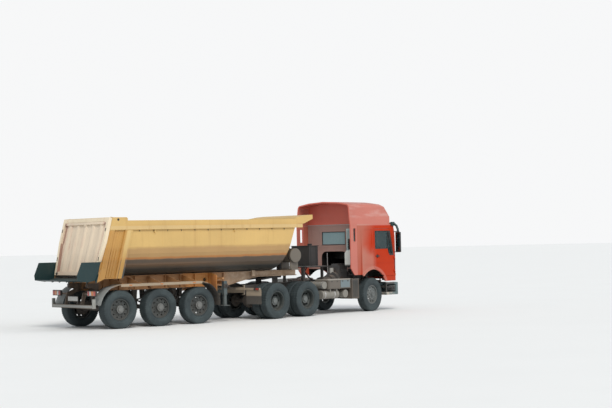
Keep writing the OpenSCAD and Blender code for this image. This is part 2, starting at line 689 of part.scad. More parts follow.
RAIL_CROSS = [-chassis_rear + 60, -bogie_back - 625, -bogie_back + 735, 1500, front_axle_x - 1805, front_axle_x + 955];
chassis_front = front_station + 1015;
module tractor_chassis() {
    channel_w = 80;
    web = 9;
    rail_front_x = chassis_front + cab_ahead;
    color("dimgray") tractor() {
        side_plates([[-chassis_rear, rail_top - rail_h], [rail_front_x, rail_top - rail_h], [rail_front_x, rail_top],
                     [-chassis_rear, rail_top]], rail_y - web, rail_y);
        for (z = [rail_top - rail_h, rail_top - web])
            both_blocks([-chassis_rear, rail_y - channel_w, z], [rail_front_x, rail_y - over, z + web]);
        for (x = RAIL_CROSS) block([x - 45, -rail_y + web - over, rail_top - 230], [x + 45, rail_y - web + over, rail_top - 60]);
        rear_crossbar();
        bogie_brackets();
        translate([cab_ahead, 0, 0]) tilt_brackets();
        side_bearers();
    }
}
flap_x = -1484;
module rear_crossbar() {
    block([-chassis_rear - 38, -1120, 892], [-chassis_rear + 22, 1120, 958]);
    for (s = [-1, 1]) block([flap_x - 8, s * 870 - 310, 470], [flap_x, s * 870 + 310, 905]);
}
// Spring saddles in the middle of the bogie and the front spring's hangers
front_spring_z = 716;
module bogie_brackets() {
    for (s = [-1, 1]) {
        side_plate([[-bogie_back - 170, rail_top - rail_h + 60], [-bogie_back + 170, rail_top - rail_h + 60],
                    [-bogie_back + 60, 640], [-bogie_back - 60, 640]], s * (rail_y + 14) - 16, s * (rail_y + 14) + 16);
    }
    bar_y(-bogie_back, 660, 45, -rail_y - 29, rail_y + 29);
    for (x = [front_axle_x - 760, front_axle_x + 760]) for (s = [-1, 1])
        side_plate([[x - 50, rail_top - rail_h + 20], [x + 50, rail_top - rail_h + 20], [x + 30, 715], [x - 30, 715]],
                   s * (rail_y - 40) - 38, s * (rail_y - 40) + 38);
}
tilt_r = 18;
tilt_y = 415;
module tilt_brackets() {
    // Arms that run on in front of the rails, with the tilt pivot's pins
    side_plates([[chassis_front - 120, 890], [tilt_x - 60, 890], [tilt_x - 10, tilt_z - 28], [tilt_x + 15, tilt_z - 26],
                 [tilt_x + 28, tilt_z - 10], [tilt_x + 28, tilt_z + 12], [tilt_x - 40, tilt_z + 24],
                 [chassis_front - 120, tilt_z + 60]], tilt_y + 10, tilt_y + 36);
    for (s = [-1, 1]) bar_y(tilt_x, tilt_z, tilt_r, min(s * (tilt_y - 12), s * (tilt_y + 36)), max(s * (tilt_y - 12), s * (tilt_y + 36)));
}
// Brackets out to the tanks and boxes on both sides
box_front = front_axle_x - tractor_tyre_r - 203;
module side_bearers() {
    for (x = [1760, box_front - 560]) both_blocks([x - 30, rail_y - over, 820], [x + 30, 640, 880]);
    block([box_front - 210, -700, 820], [box_front - 150, -rail_y + over, 880]);
}

module fifth_wheel() {
    plate_top = coupling_z - coupling_gap;
    color("darkslategray") tractor() {
        difference() {
            union() {
                bar_z(0, 0, 460, plate_top - 50, plate_top);
                side_plate([[-60, plate_top - 50], [-60, plate_top], [-560, plate_top - 60], [-560, plate_top - 100]], -380, 380);
            }
            bar_z(0, 0, 36.8, plate_top - 120, plate_top + over);
            translate([0, 0, plate_top - 120]) linear_extrude(121) polygon([[-36, -20], [-36, 20], [-600, 190], [-600, -190]]);
        }
        // Jaw that holds the kingpin's neck
        difference() {
            bar_z(0, 0, 110, plate_top - 55, plate_top - 23);
            bar_z(0, 0, kingpin_r + pin_gap, plate_top - 120, plate_top + over);
        }
        // Pedestals on a base plate
        both_blocks([-110, 330, rail_top + 15], [110, 370, plate_top - 49]);
        block([-420, -rail_y - 60, rail_top], [420, rail_y + 60, rail_top + 16]);
    }
}

axle_z = tractor_tyre_r;
module drive_axles() {
    color("dimgray") tractor() {
        for (x = [-bogie_back - bogie_pitch / 2, -bogie_back + bogie_pitch / 2]) drive_axle(x);
        for (s = [-1, 1]) {
            for (i = [0:4]) let (share = 1 - i * 0.17)
                leaf(-bogie_back, bogie_pitch / 2 * share, -70 * share * share, leaf_t + 0.5, 722 - i * leaf_t, s * 520, 80);
            block([-bogie_back - 70, s * 520 - 40, 610], [-bogie_back + 70, s * 520 + 40, 722 - 3 * leaf_t]);
        }
    }
}
module drive_axle(x) {
    bar_y(x, axle_z, 66, -700, 700);
    bar_y(x, axle_z, spindle_r, -tyre_face_y + 175, tyre_face_y - 175);
    intersection() {
        translate([x, 0, axle_z]) sphere(r = 215, $fn = 64);
        block([x - 150, -200, axle_z - 215], [x + 150, 200, axle_z + 215]);
    }
    bar_x(0, axle_z + 30, 75, x + 100, x + 330);
    for (s = [-1, 1]) {
        bar_y(x, axle_z, 190, min(s * 580, s * 600), max(s * 580, s * 600));
        // Pad under the end of the spring
        block([x - 60, s * 520 - 40, axle_z], [x + 60, s * 520 + 40, 722 - 70 - 15]);
    }
}

module front_axle() {
    half = [[-pivot_y, 486], [-pivot_y + 90, 486], [-520, 400], [520, 400], [pivot_y - 90, 486], [pivot_y, 486],
            [pivot_y, 574], [pivot_y - 110, 574], [500, 490], [-500, 490], [-pivot_y + 110, 574], [-pivot_y, 574]];
    color("dimgray") tractor() {
        difference() {
            union() {
                cross_plate(half, front_axle_x - 45, front_axle_x + 45);
                for (s = [-1, 1]) bar_z(front_axle_x, s * pivot_y, 48, 477, 607);
            }
            for (s = [-1, 1]) bar_z(front_axle_x, s * pivot_y, 24 + pin_gap, 400, 700);
        }
        for (s = [-1, 1]) {
            spring_pack(front_axle_x, 640, 760, 75, 4, s * (rail_y - 40));
            block([front_axle_x - 60, s * (rail_y - 40) - 50, 480], [front_axle_x + 60, s * (rail_y - 40) + 50, 640 - 4 * leaf_t + 6]);
        }
    }
}

// Knuckle: a yoke round the axle's end, and the spindle that the wheel turns on
module knuckle(s) {
    color("gray") tractor() translate([front_axle_x, s * pivot_y, 0]) rotate([0, 0, steer_turn]) scale_side(s) {
        difference() {
            union() {
                for (z = [[437, 471], [613, 647]]) {
                    bar_z(0, 0, 52, z[0], z[1]);
                    block([-42, 0, z[0]], [42, 72, z[1]]);
                }
                block([-42, 56, 437], [42, 92, 647]);
            }
        }
        bar_z(0, 0, 24, 440, 644);
        bar_y(0, axle_z, 60, 90, 112);
        bar_y(0, axle_z, spindle_r, 110, front_face_y - pivot_y - 60);
    }
}

module engine() {
    color("dimgray") cab_place() {
        // Block, sump and flywheel housing
        block([3200, -260, 860], [4300, 260, 1400]);
        side_plate([[3240, 861], [3240, 800], [3700, 780], [3760, 720], [4260, 720], [4260, 861]], -200, 200);
        bar_x(0, 1010, 290, 3080, 3200 + over);
        // Six heads with their covers
        for (i = [0:5]) let (x = 3230 + i * 175) {
            block([x, -240, 1400 - over], [x + 160, 240, 1500]);
            block([x + 15, -150, 1500 - over], [x + 145, 120, 1560]);
        }
        // Manifolds and the turbocharger
        block([3260, 260 - over, 1250], [4220, 330, 1340]);
        block([3260, -330, 1300], [4220, -260 + over, 1380]);
        bar_x(-275, 1210, 72, 3580, 3800);
        // Fan hub, fan, shroud and radiator
        bar_x(0, 1130, 70, 4300 - over, 4340);
        bar_x(0, 1130, 300, 4339, 4400);
        block([4399, -345, 790], [4421, 345, 1500]);
        block([4420, -350, 740], [4560, 350, 1540]);
        // Clutch housing, and the gearbox with its ribs
        bar_x(0, 970, 240, 2900, 3080 + over);
        bar_x(0, 950, 185, 2480, 2900 + over);
        for (x = [2540:90:2810]) bar_x(0, 950, 200, x, x + 16);
        block([2150, -150, 800], [2480 + over, 150, 1080]);
        both_blocks([3500, 260 - over, 880], [3640, rail_y - 9, 940]);
    }
}

module fuel_tank() {
    r = 110;
    color("silver") tractor() translate([1700, 0, 0]) rotate([90, 0, 90]) linear_extrude(box_front - 110 - 1700)
        hull() for (y = [640 + r, 1190 - r]) for (z = [520 + r, 1120 - r]) translate([y, z]) circle(r, $fn = 24);
}
module side_boxes() {
    color("darkkhaki") tractor() {
        block([1560, -1190, 800], [box_front - 420, -640, 1100]);
        block([1600, -1200, 830], [box_front - 960, -1188, 1070]);
        block([box_front - 910, -1200, 830], [box_front - 460, -1188, 1070]);
        // Battery box with the step beside it
        block([box_front - 360, -1190, 450], [box_front, -700, 1090]);
        block([box_front - 366, -1196, 1050], [box_front + 6, -694, 1097]);
        for (i = [0:4]) block([box_front - 330 + i * 72, -1198, 480], [box_front - 314 + i * 72, -1186, 1000]);
    }
}
module air_tanks() {
    color("tan") tractor() {
        bar_y(1425, 930, 115, -1150, -560);
        bar_x(-1020, 630, 135, 1340, box_front - 940);
        bar_y(box_front - 630, 630, 125, -1150, -700);
        // Straps up to the bearers
        block([1395, -600, 900], [1455, -rail_y, 960]);
        for (x = [1690, box_front - 1060]) block([x - 20, -1160, 620], [x + 20, -880, 800]);
        block([box_front - 660, -900, 700], [box_front - 600, -800, 800]);
    }
}
module oil_tank() {
    color("dimgray") tractor() {
        block([1640, -340, 1525], [2060, 420, 2180]);
        block([1615, -365, 2168], [2085, 445, 2182]);
        bar_z(1850, -180, 70, 2181, 2215);
        // Catwalk and its legs
        block([1220, -620, 1490], [2250, 620, 1525]);
        for (x = [1270, 2150]) both_blocks([x - 35, rail_y - 70, rail_top], [x + 35, rail_y, 1491]);
    }
}

module bumper() {
    z0 = 500;
    z1 = 900;
    color("darkslategray") cab_place() {
        difference() {
            cab_plan(5280, 1200, 260, 4460, z0, z1);
            cab_plan(5240, 1160, 220, 4300, z0 + 40, z1 + 40);
            // Lamp openings
            for (s = [-1, 1]) block([5100, s * 900 - 190, 620], [5400, s * 900 + 190, 780]);
            // Open sides over the steps
            for (s = [-1, 1]) block([4500, s * 1200 - 60, 590], [4960, s * 1200 + 60, 850]);
        }
        // Bracket to the chassis and steps behind the corners
        both_blocks([chassis_front, rail_y - 60, 760], [5242, rail_y, 860]);
        both_blocks([4470, rail_y, 760], [4540, 1165, 800]);
        for (z = [560, 740]) both_blocks([4470, 900, z], [4760, 1162, z + 22]);
        block([5238, -700, 640], [5270, 700, 700]);
    }
}
module headlamps() {
    color("white") cab_place() for (s = [-1, 1])
        intersection() {
            cab_plan(5272, 1192, 252, 4460, 600, 800);
            difference() {
                block([5000, s * 900 - 189.7, 620.3], [5400, s * 900 + 189.7, 779.7]);
                cab_plan(5200, 1130, 200, 4300, 500, 900);
            }
        }
}

// Cab

// Plan outline with rounded front corners and a slightly bowed front, as a solid from z0 to z1
module cab_plan(front, half, r, rear, z0, z1) {
    bow = 35;
    corner = arc(front - bow - r, half - r, r, 90, 8, 6);
    right = concat([[rear, half]], corner, [[front - bow * 0.35, half * 0.5], [front, half * 0.18]]);
    translate([0, 0, z0]) linear_extrude(z1 - z0)
        polygon(concat(right, [for (i = [len(right) - 1:-1:0]) [right[i][0], -right[i][1]]]));
}
// Side outline of the cab body, front wall leaning back above its waist
CAB_SIDE = [[cab_rear, cab_low], [cab_rear, cab_seam], [4920, cab_seam], [5150, 1900], [cab_front, 1500],
            [5170, 960], [4380, 960], [4380, cab_low]];
module cab_outer(t) {
    intersection() {
        cab_plan(cab_front - t, cab_half_w - t, 250 - t, cab_rear + t - (t > 0 ? 0 : 0), 900, cab_seam + over);
        translate([0, 1400, 0]) rotate([90, 0, 0]) linear_extrude(2800) offset(delta = -t) polygon(CAB_SIDE);
        cross_plate(both([[cab_half_w - 16 - t, cab_seam + 2 * over], [cab_half_w - t, 2000], [cab_half_w - t, 900]]), 3000, 5400);
    }
}
arch_x = front_station + 30;
arch_z = 680;
arch_r = 680;
lip_w = 46;
lip_t = 16;
module arch_cut(r, y0, y1) {
    bar_y(arch_x, arch_z, r, y0, y1);
}
// Outline of a door in X and Z, grown by g
function door_points() = concat([[door_rear, 2680], [door_rear, 1390]],
    [for (p = arc(arch_x, arch_z, arch_r + lip_w + 8, 85, 30, 6)) if (p[0] > door_rear + 20) p],
    [[4480, 1130], [door_front, 1130], [door_front, 1880], [4720, 2680]]);
module door_region(g, y0, y1) {
    translate([0, y1, 0]) rotate([90, 0, 0]) linear_extrude(y1 - y0) offset(delta = g) polygon(door_points());
}
WINDOW = [[3955, 2030], [3955, 2610], [4650, 2610], [4820, 1870], [4650, 1870], [4600, 2030]];
module window_region(g, y0, y1) {
    translate([0, y1, 0]) rotate([90, 0, 0]) linear_extrude(y1 - y0) offset(delta = g) polygon(WINDOW);
}
tunnel_top = 1970;
tunnel_half = 550;
module tunnel(t, x0) {
    // Tall at the rear under the bunk, low between the seats
    cross_plate(both(concat([[tunnel_half + t, 900]], arc(tunnel_half + t - 200, tunnel_top + t - 200, 200, 0, 90, 4))),
                x0, 3760 + t);
    cross_plate(both(concat([[tunnel_half - 90 + t, 900]], arc(tunnel_half - 90 + t - 120, 1710 + t - 120, 120, 0, 90, 3))),
                x0, 4700 + t);
}
module cab_shell() {
    color("indianred") cab_place() {
        difference() {
            union() {
                difference() {
                    cab_outer(0);
                    cab_cavity();
                    // Rear side panels reach back from the rear wall, the rest is open below the floor
                    block([3000, -cab_half_w + wall_t, 800], [cab_front - 60, cab_half_w - wall_t, floor_z]);
                }
                intersection() {
                    cab_outer(0);
                    tunnel(25, cab_rear);
                    block([3000, -1000, floor_z - 60], [5300, 1000, 2200]);
                }
                wheel_lips();
                side_wings();
            }
            tunnel(0, 3000);
            for (s = [[-1400, -600], [600, 1400]]) arch_cut(arch_r, s[0], s[1]);
            for (s = [[-1400, -cab_half_w + wall_t + 40], [cab_half_w - wall_t - 40, 1400]]) door_region(door_gap, s[0], s[1]);
            windscreen_region(0);
            rear_window_region(0);
            grille_slots();
            side_pressings();
            rear_pressings();
            block([5050, -480, 900], [5300, 480, 1010]);
        }
        intersection() {
            grille();
            cab_outer(0);
        }
        for (s = [-1, 1]) scale_side(s) door_hinge_pins();
        cab_pivots();
    }
}
module cab_cavity() {
    intersection() {
        cab_outer(wall_t);
        block([cab_rear + wall_t, -1300, floor_z + 40], [5400, 1300, cab_seam + 10]);
    }
    // Open top under the high roof
    intersection() {
        cab_outer(wall_t + 20);
        block([cab_rear + wall_t, -1300, cab_seam - 200], [5400, 1300, cab_seam + 10]);
    }
    block([cab_rear + wall_t + 60, -cab_half_w + 120, cab_seam - 120], [4780, cab_half_w - 120, cab_seam + 10]);
}
// Recess and swage lines of the side panels behind the doors
module side_pressings() {
    for (s = [-1, 1]) scale_side(s) {
        cross_plate([[cab_half_w - 8, 2060], [cab_half_w - 20, 2660], [1300, 2660], [1300, 2060]], cab_rear + 90, door_rear - 100);
        block([cab_rear + 80, cab_half_w - 6, 1500], [door_rear - 20, 1300, 1516]);
        block([door_rear - 250, cab_half_w - 6, 1930], [door_rear - 20, 1300, 1946]);
    }
}
// Swage lines below the rear window, and the flat recess beside it
module rear_pressings() {
    for (z = [2030, 2090, 2150]) block([cab_rear - 20, -900, z], [cab_rear + 8, 900, z + 26]);
    block([cab_rear - 20, 620, 2230], [cab_rear + 8, 980, 2720]);
}
module side_wings() {
    // Side skins that run on behind the rear wall to the fairings
    side_plates([[3055, cab_low], [cab_rear + over, cab_low], [cab_rear + over, cab_seam], [3055, cab_seam]],
                cab_half_w - 40, cab_half_w - 16);
}
module wheel_lips() {
    intersection() {
        difference() {
            for (y = [[-cab_half_w - lip_t, -cab_half_w + 30], [cab_half_w - 30, cab_half_w + lip_t]])
                arch_cut(arch_r + lip_w, y[0], y[1]);
            for (y = [[-cab_half_w - lip_t - over, -cab_half_w + 31], [cab_half_w - 31, cab_half_w + lip_t + over]])
                arch_cut(arch_r - over, y[0], y[1]);
        }
        block([3000, -1300, cab_low - 40], [4380, 1300, 1600]);
    }
}
module windscreen_region(g) {
    cross_plate([[-1010 + g, 1930 + g], [1010 - g, 1930 + g], [960 - g, 2740 - g], [-960 + g, 2740 - g]], 4600, 5400);
}
module rear_window_region(g) {
    block([cab_rear - 20, -490 + g, 2200 + g], [cab_rear + 80, 490 - g, 2600 - g]);
}
module grille_slots() {
    block([5050, -780, 1080], [5400, 780, 1720]);
}
module grille() {
    // Frame and slats of the grille in the front panel
    for (z = [1080:92:1720]) block([5085, -781, z], [5178, 781, z + 34]);
    for (y = [-400, -12, 376]) block([5085, y, 1080], [5120, y + 24, 1720]);
}
door_hinge_x = door_front + door_gap;
door_hinge_y = cab_half_w + 15;
pin_r = 7;
HINGE_Z = [1260, 1700];
module door_hinge_pins() {
    // A lug on the pillar with an upright pin, one at each height
    for (z = HINGE_Z) {
        bar_z(door_hinge_x, door_hinge_y, 13, z - 30, z);
        block([door_hinge_x, cab_half_w - 30, z - 30], [door_hinge_x + 26, door_hinge_y + 8, z]);
        bar_z(door_hinge_x, door_hinge_y, pin_r, z - over, z + 62);
    }
}
module door(s) {
    color("firebrick") cab_place() scale_side(s) {
        difference() {
            union() {
                intersection() {
                    difference() {
                        cab_outer(0);
                        cab_outer(wall_t);
                        door_pressings();
                    }
                    door_region(0, cab_half_w - wall_t - 20, 1400);
                }
                intersection() {
                    wheel_lips();
                    door_region(0, cab_half_w - wall_t, 1400);
                }
                door_handle();
            }
            window_region(0, 1000, 1400);
            // Clearance round the pillar's lugs
            for (z = HINGE_Z) block([door_hinge_x - 24, cab_half_w - 36, z - 36], [door_hinge_x + 40, 1300, z + 6]);
        }
        for (z = HINGE_Z) difference() {
            union() {
                bar_z(door_hinge_x, door_hinge_y, 13, z + 6, z + 56);
                block([door_hinge_x - 60, cab_half_w - 20, z + 6], [door_hinge_x - 6, door_hinge_y + 6, z + 56]);
                block([door_hinge_x - 20, door_hinge_y - 5, z + 6], [door_hinge_x, door_hinge_y + 6, z + 56]);
            }
            bar_z(door_hinge_x, door_hinge_y, pin_r + pin_gap, z, z + 70);
        }
    }
}
// Round pocket behind the handle and the crease across the door
module door_pressings() {
    bar_y(door_rear + 170, 1787, 56, cab_half_w - 20, 1400);
    block([door_rear + 70, cab_half_w - 6, 1548], [door_front + over, 1400, 1564]);
}
module door_handle() {
    block([3960, cab_half_w - 5, 1770], [4130, cab_half_w + 22, 1805]);
}
module door_glass(s) {
    color("lightsteelblue") cab_place() scale_side(s) intersection() {
        difference() {
            cab_outer(14);
            cab_outer(22);
        }
        window_region(-pin_gap, 1000, 1400);
    }
}
module cab_pivots() {
    // Legs down to the tilt pivot
    for (s = [-1, 1]) difference() {
        side_plate([[tilt_x - 30, tilt_z - 12], [tilt_x - 12, tilt_z - 29], [tilt_x + 12, tilt_z - 29], [tilt_x + 30, tilt_z - 12],
                    [5140, 1000], [5140, 1076], [tilt_x - 30, 1076]], s * tilt_y - 6, s * tilt_y + 6);
        translate([0, s * tilt_y, 0]) bar_y(tilt_x, tilt_z, tilt_r + pin_gap, -10, 10);
    }
}

// High roof: side outline, and a section that narrows and crowns
ROOF_SIDE = [[cab_rear, cab_seam], [4900, cab_seam], [4870, 2950], [4540, 3400], [4250, 3540], [3900, roof_top],
             [fairing_rear + 20, roof_top], [fairing_rear, cab_seam + 300], [fairing_rear, cab_seam]];
function roof_half(t) = concat([[cab_half_w - 16 - t, cab_seam - over]],
    arc(1110 - 150, 3360, 150 - t, 8, 60, 4), [[620, 3560 - t], [0, roof_top - t]]);
function roof_section(t) = concat(roof_half(t), mirrored(roof_half(t)));
module roof_outer(t) {
    intersection() {
        translate([0, 1400, 0]) rotate([90, 0, 0]) linear_extrude(2800) offset(delta = -t) polygon(ROOF_SIDE);
        cross_plate(roof_section(t), 2600, 5400);
        cab_plan(4980 - t, cab_half_w - t, 330 - t, 2600, cab_seam - 10, roof_top + 10);
    }
}
module cab_roof() {
    color("salmon") cab_place() {
        difference() {
            roof_outer(0);
            // Hollow over the cab, open below
            intersection() {
                roof_outer(wall_t);
                block([cab_rear + wall_t, -1300, 2600], [5400, 1300, 3800]);
            }
            block([cab_rear + wall_t + 60, -cab_half_w + 120, cab_seam - 60], [4740, cab_half_w - 120, cab_seam + 90]);
            // Open behind the rear wall, between the side fairings
            difference() {
                translate([-60, 0, 0]) cross_plate(roof_section(40), 2600, cab_rear + 60);
                block([cab_rear - over, -1300, 2800], [3400, 1300, 3700]);
            }
            block([2600, -cab_half_w + 56, cab_seam - 20], [cab_rear, cab_half_w - 56, cab_seam + 60]);
        }
        side_fairings();
        sun_visor();
    }
}
module sun_visor() {
    // A bent plate ahead of the windscreen's top
    visor_half = 1000;
    side_plate([[4872, 2905], [4890, 2912], [5128, 2838], [5168, 2748], [5154, 2744], [5117, 2826], [4872, 2890]], -visor_half, visor_half);
}
module side_fairings() {
    // Panels beside the gap between the cab and the bed
    for (s = [-1, 1]) scale_side(s) difference() {
        side_plate([[fairing_rear, cab_seam + over], [fairing_rear, 1420], [2900, cab_low], [3049, cab_low], [3049, cab_seam + over]],
                   cab_half_w - 46, cab_half_w - 14);
        block([2870, 1000, 2280], [2990, 1300, 2700]);
    }
}
module cab_glass() {
    color("lightsteelblue") cab_place() {
        intersection() {
            difference() {
                cab_outer(14);
                cab_outer(22);
            }
            windscreen_region(pin_gap);
        }
        block([cab_rear + 14, -490 + pin_gap, 2200 + pin_gap], [cab_rear + 22, 490 - pin_gap, 2600 - pin_gap]);
    }
}
module cab_interior() {
    z0 = floor_z + 40;
    color("dimgray") cab_place() {
        for (s = [-1, 1]) {
            // Seat: plinth, cushion and back
            block([3920, s * 760 - 230, z0], [4330, s * 760 + 230, z0 + 260]);
            block([3880, s * 760 - 250, z0 + 260], [4400, s * 760 + 250, z0 + 400]);
            side_plate([[3900, z0 + 400], [4010, z0 + 400], [3910, z0 + 1040], [3800, z0 + 1040]], s * 760 - 240, s * 760 + 240);
        }
        // Bunk behind the seats
        block([cab_rear + wall_t, -1050, tunnel_top + 25], [3760, 1050, tunnel_top + 125]);
        // Dashboard
        intersection() {
            side_plate([[5300, 1780], [4880, 1780], [4700, 1850], [4680, 1970], [4900, 2010], [5300, 1900]], -1105, 1105);
            cab_outer(wall_t);
        }
        // Steering column and wheel
        translate([4560, 760, 2060]) rotate([0, 120, 0]) {
            rotate_extrude($fn = 48) translate([225, 0]) circle(14, $fn = 16);
            cylinder(h = 260, r = 26, $fn = 24);
            for (a = [0, 90]) rotate([0, 0, a]) translate([-225, -14, -8]) cube([450, 28, 16]);
        }
    }
}
module air_intake() {
    color("lightslategray") cab_place() {
        difference() {
            union() {
                block([2960, -1000, 1950], [cab_rear, -790, 2700]);
                // Wider filter housing at the foot, sloped up to the duct
                cross_plate([[-1040, 1480], [-1040, 1900], [-1000, 2000], [-790, 2000], [-720, 1900], [-720, 1480]], 2940, cab_rear);
                block([2990, -1000, 1440], [3190, -780, 1481]);
            }
            block([2900, -960, 2050], [2990, -830, 2640]);
        }
        // Louvres in its mouth
        for (z = [2100:75:2600]) block([2966, -960 - over, z], [2991, -830 + over, z + 20]);
    }
}
mirror_x = door_front - 10;
module mirrors() {
    color("darkslategray") cab_place() for (s = [-1, 1]) scale_side(s) {
        block([mirror_x, 1260, 1900], [mirror_x + 55, 1450, 2560]);
        difference() {
            for (z = [1905, 2580]) bar_y(mirror_x + 37, z, 13, 1120, 1400);
            cab_outer(0);
        }
        for (z = [1892, 2540]) block([mirror_x + 5, 1300, z], [mirror_x + 43, 1330, z + 50]);
    }
}

// Wheels: made round the Z axis with the outside upwards, and turned on to their axle

module on_axle(x, y, z, s) {
    translate([x, y, z]) rotate([s < 0 ? 90 : -90, 0, 0]) children();
}
// Section of a tyre, radius against width, half width h
function tyre_half(r, h) = [[bead_r, h * 0.62], [bead_r + 21, h * 0.62], [bead_r + 34, h * 0.84], [r * 0.74, h],
                            [r * 0.86, h * 0.985], [r - 32, h * 0.93], [r - 8, h * 0.84], [r, h * 0.74]];
module tyre(r, w) {
    p = tyre_half(r, w / 2);
    color("black") rotate_extrude($fn = 96)
        polygon(concat([for (i = [len(p) - 1:-1:0]) [p[i][0], -p[i][1]]], p));
}
module rim_barrel(w) {
    h = w / 2 * 0.62;
    rotate_extrude($fn = 96)
        polygon([[bead_r - 14, -h - 10], [bead_r + 18, -h - 10], [bead_r + 18, -h], [bead_r - pin_gap, -h], [bead_r - pin_gap, h],
                 [bead_r + 18, h], [bead_r + 18, h + 10], [bead_r - 14, h + 10], [bead_r - 14, h - 8],
                 [bead_r - 26, h - 40], [bead_r - 26, -h + 40], [bead_r - 14, -h + 8]]);
}
// Disc with its ring of hand holes: z0 is its middle at the rim, z1 at the hub
module disc(z0, z1, holes) {
    difference() {
        rotate_extrude($fn = 96)
            polygon([[60, z1 - 8], [170, z1 - 8], [205, (z0 + z1) / 2 - 9], [bead_r - 20, z0 - 8], [bead_r - 20, z0 + 8],
                     [200, (z0 + z1) / 2 + 9], [165, z1 + 8], [60, z1 + 8]]);
        for (i = [0:holes - 1]) rotate([0, 0, i * 360 / holes])
            translate([222, 0, min(z0, z1) - 60]) cylinder(h = abs(z1 - z0) + 120, r = 24, $fn = 24);
    }
}
module hub(r, z0, z1, bore_top) {
    difference() {
        union() {
            translate([0, 0, z0]) cylinder(h = z1 - z0, r = r, $fn = 64);
            translate([0, 0, z1 - over]) cylinder(h = 26, r = r * 0.62, $fn = 64);
        }
        translate([0, 0, z0 - 200]) cylinder(h = bore_top - z0 + 200, r = spindle_r + pin_gap, $fn = 64);
    }
}
nut_r = 17;
module nuts(z, pcd, count) {
    for (i = [0:count - 1]) rotate([0, 0, (i + 0.5) * 360 / count]) translate([pcd / 2, 0, z]) cylinder(h = 22, r = nut_r, $fn = 6);
}
module trailer_wheel_at(w) {
    placed() on_axle(w[1], w[2] * (tyre_face_y - trailer_tyre_w / 2), trailer_tyre_r, w[2]) children();
}
module drive_wheel_at(w) {
    tractor() on_axle(w[1], w[2] * (tyre_face_y - tractor_tyre_w / 2 - twin_pitch / 2), tractor_tyre_r, w[2]) children();
}
module front_wheel_at(s) {
    tractor() translate([front_axle_x, s * pivot_y, 0]) rotate([0, 0, steer_turn])
        on_axle(0, s * (front_face_y - tractor_tyre_w / 2 - pivot_y), tractor_tyre_r, s) children();
}
module trailer_rim() {
    color("rosybrown") {
        rim_barrel(trailer_tyre_w);
        disc(70, 62, 10);
        hub(112, 40, 138, 126);
        nuts(69, 335, 10);
    }
}
module twin_rims() {
    color("slategray") {
        for (s = [-1, 1]) translate([0, 0, s * twin_pitch / 2]) rim_barrel(tractor_tyre_w);
        disc(124, 10, 8);
        mirror([0, 0, 1]) disc(124, 10, 8);
        hub(135, -40, 165, 150);
        nuts(17, 335, 10);
    }
}
module front_rim() {
    color("silver") {
        rim_barrel(tractor_tyre_w);
        disc(50, 96, 10);
        hub(95, 0, 112, 100);
        nuts(103, 335, 10);
    }
}

trailer_chassis();
trailer_axles();
trailer_mudguards();
landing_legs();
rear_lamps();
front_tank();
bed();
tailgate();
hoist_barrel();
for (n = [1:STAGES]) hoist_stage(n);
tractor_chassis();
fifth_wheel();
drive_axles();
front_axle();
engine();
fuel_tank();
side_boxes();
air_tanks();
oil_tank();
bumper();
headlamps();
cab_shell();
cab_roof();
cab_glass();
cab_interior();
air_intake();
mirrors();
for (s = SIDES) door(s[1]);
for (s = SIDES) door_glass(s[1]);
for (s = SIDES) knuckle(s[1]);
for (w = TRAILER_WHEELS) trailer_wheel_at(w) tyre(trailer_tyre_r, trailer_tyre_w);
for (w = TRAILER_WHEELS) trailer_wheel_at(w) trailer_rim();
for (w = DRIVE_WHEELS) drive_wheel_at(w) for (s = [-1, 1]) translate([0, 0, s * twin_pitch / 2]) tyre(tractor_tyre_r, tractor_tyre_w);
for (w = DRIVE_WHEELS) drive_wheel_at(w) twin_rims();
for (s = SIDES) front_wheel_at(s[1]) tyre(tractor_tyre_r, tractor_tyre_w);
for (s = SIDES) front_wheel_at(s[1]) front_rim();
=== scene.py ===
"""Looks of an articulated tipper lorry: materials for its solids, and the pieces too fine for them.

The packed solids are the fixed frame. Lengths are metres. A piece is drawn either in the trailer's own
frame or in the tractor's, both with the kingpin's axis at X = Y = 0 and the ground at Z = 0, and is then
put in place in its mesh, so that its object stays at the origin.
"""

import json
import math

import bmesh
import bpy
from mathutils import Matrix, Vector


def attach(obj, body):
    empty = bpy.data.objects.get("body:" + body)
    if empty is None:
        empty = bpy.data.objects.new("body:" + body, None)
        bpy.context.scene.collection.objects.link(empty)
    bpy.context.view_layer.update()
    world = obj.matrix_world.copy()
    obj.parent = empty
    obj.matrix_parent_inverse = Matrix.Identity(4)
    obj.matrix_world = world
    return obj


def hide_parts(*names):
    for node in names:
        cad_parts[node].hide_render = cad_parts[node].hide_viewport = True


bl_info = {
    "name": "Articulated tipper lorry",
    "version": (1, 0, 0),
    "blender": (4, 5, 0),
    "location": "View3D > Sidebar > Lorry",
    "description": "Dresses the packed solids of an articulated tipper lorry",
    "category": "Object",
}

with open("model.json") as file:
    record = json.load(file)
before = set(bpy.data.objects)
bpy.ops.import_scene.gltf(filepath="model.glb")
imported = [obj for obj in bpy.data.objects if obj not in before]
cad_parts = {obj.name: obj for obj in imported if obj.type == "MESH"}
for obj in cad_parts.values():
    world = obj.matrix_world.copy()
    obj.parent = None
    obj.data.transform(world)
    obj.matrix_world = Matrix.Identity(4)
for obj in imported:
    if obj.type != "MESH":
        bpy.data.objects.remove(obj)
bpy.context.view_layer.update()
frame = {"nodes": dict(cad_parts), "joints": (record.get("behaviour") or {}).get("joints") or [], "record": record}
NODES = frame["nodes"]
JOINTS = {j["name"]: j for j in frame["joints"]}
SIDES = (("right", -1), ("left", 1))

# Where the leaning faces of the bed stand: the tailgate's top edge, and the top of the front wall
REAR_LEAN = math.radians(15)
FRONT_LEAN = math.radians(20)
GATE_X, GATE_Z = -6.295, 3.074
FRONT_X, FRONT_Z = 0.3, 3.01

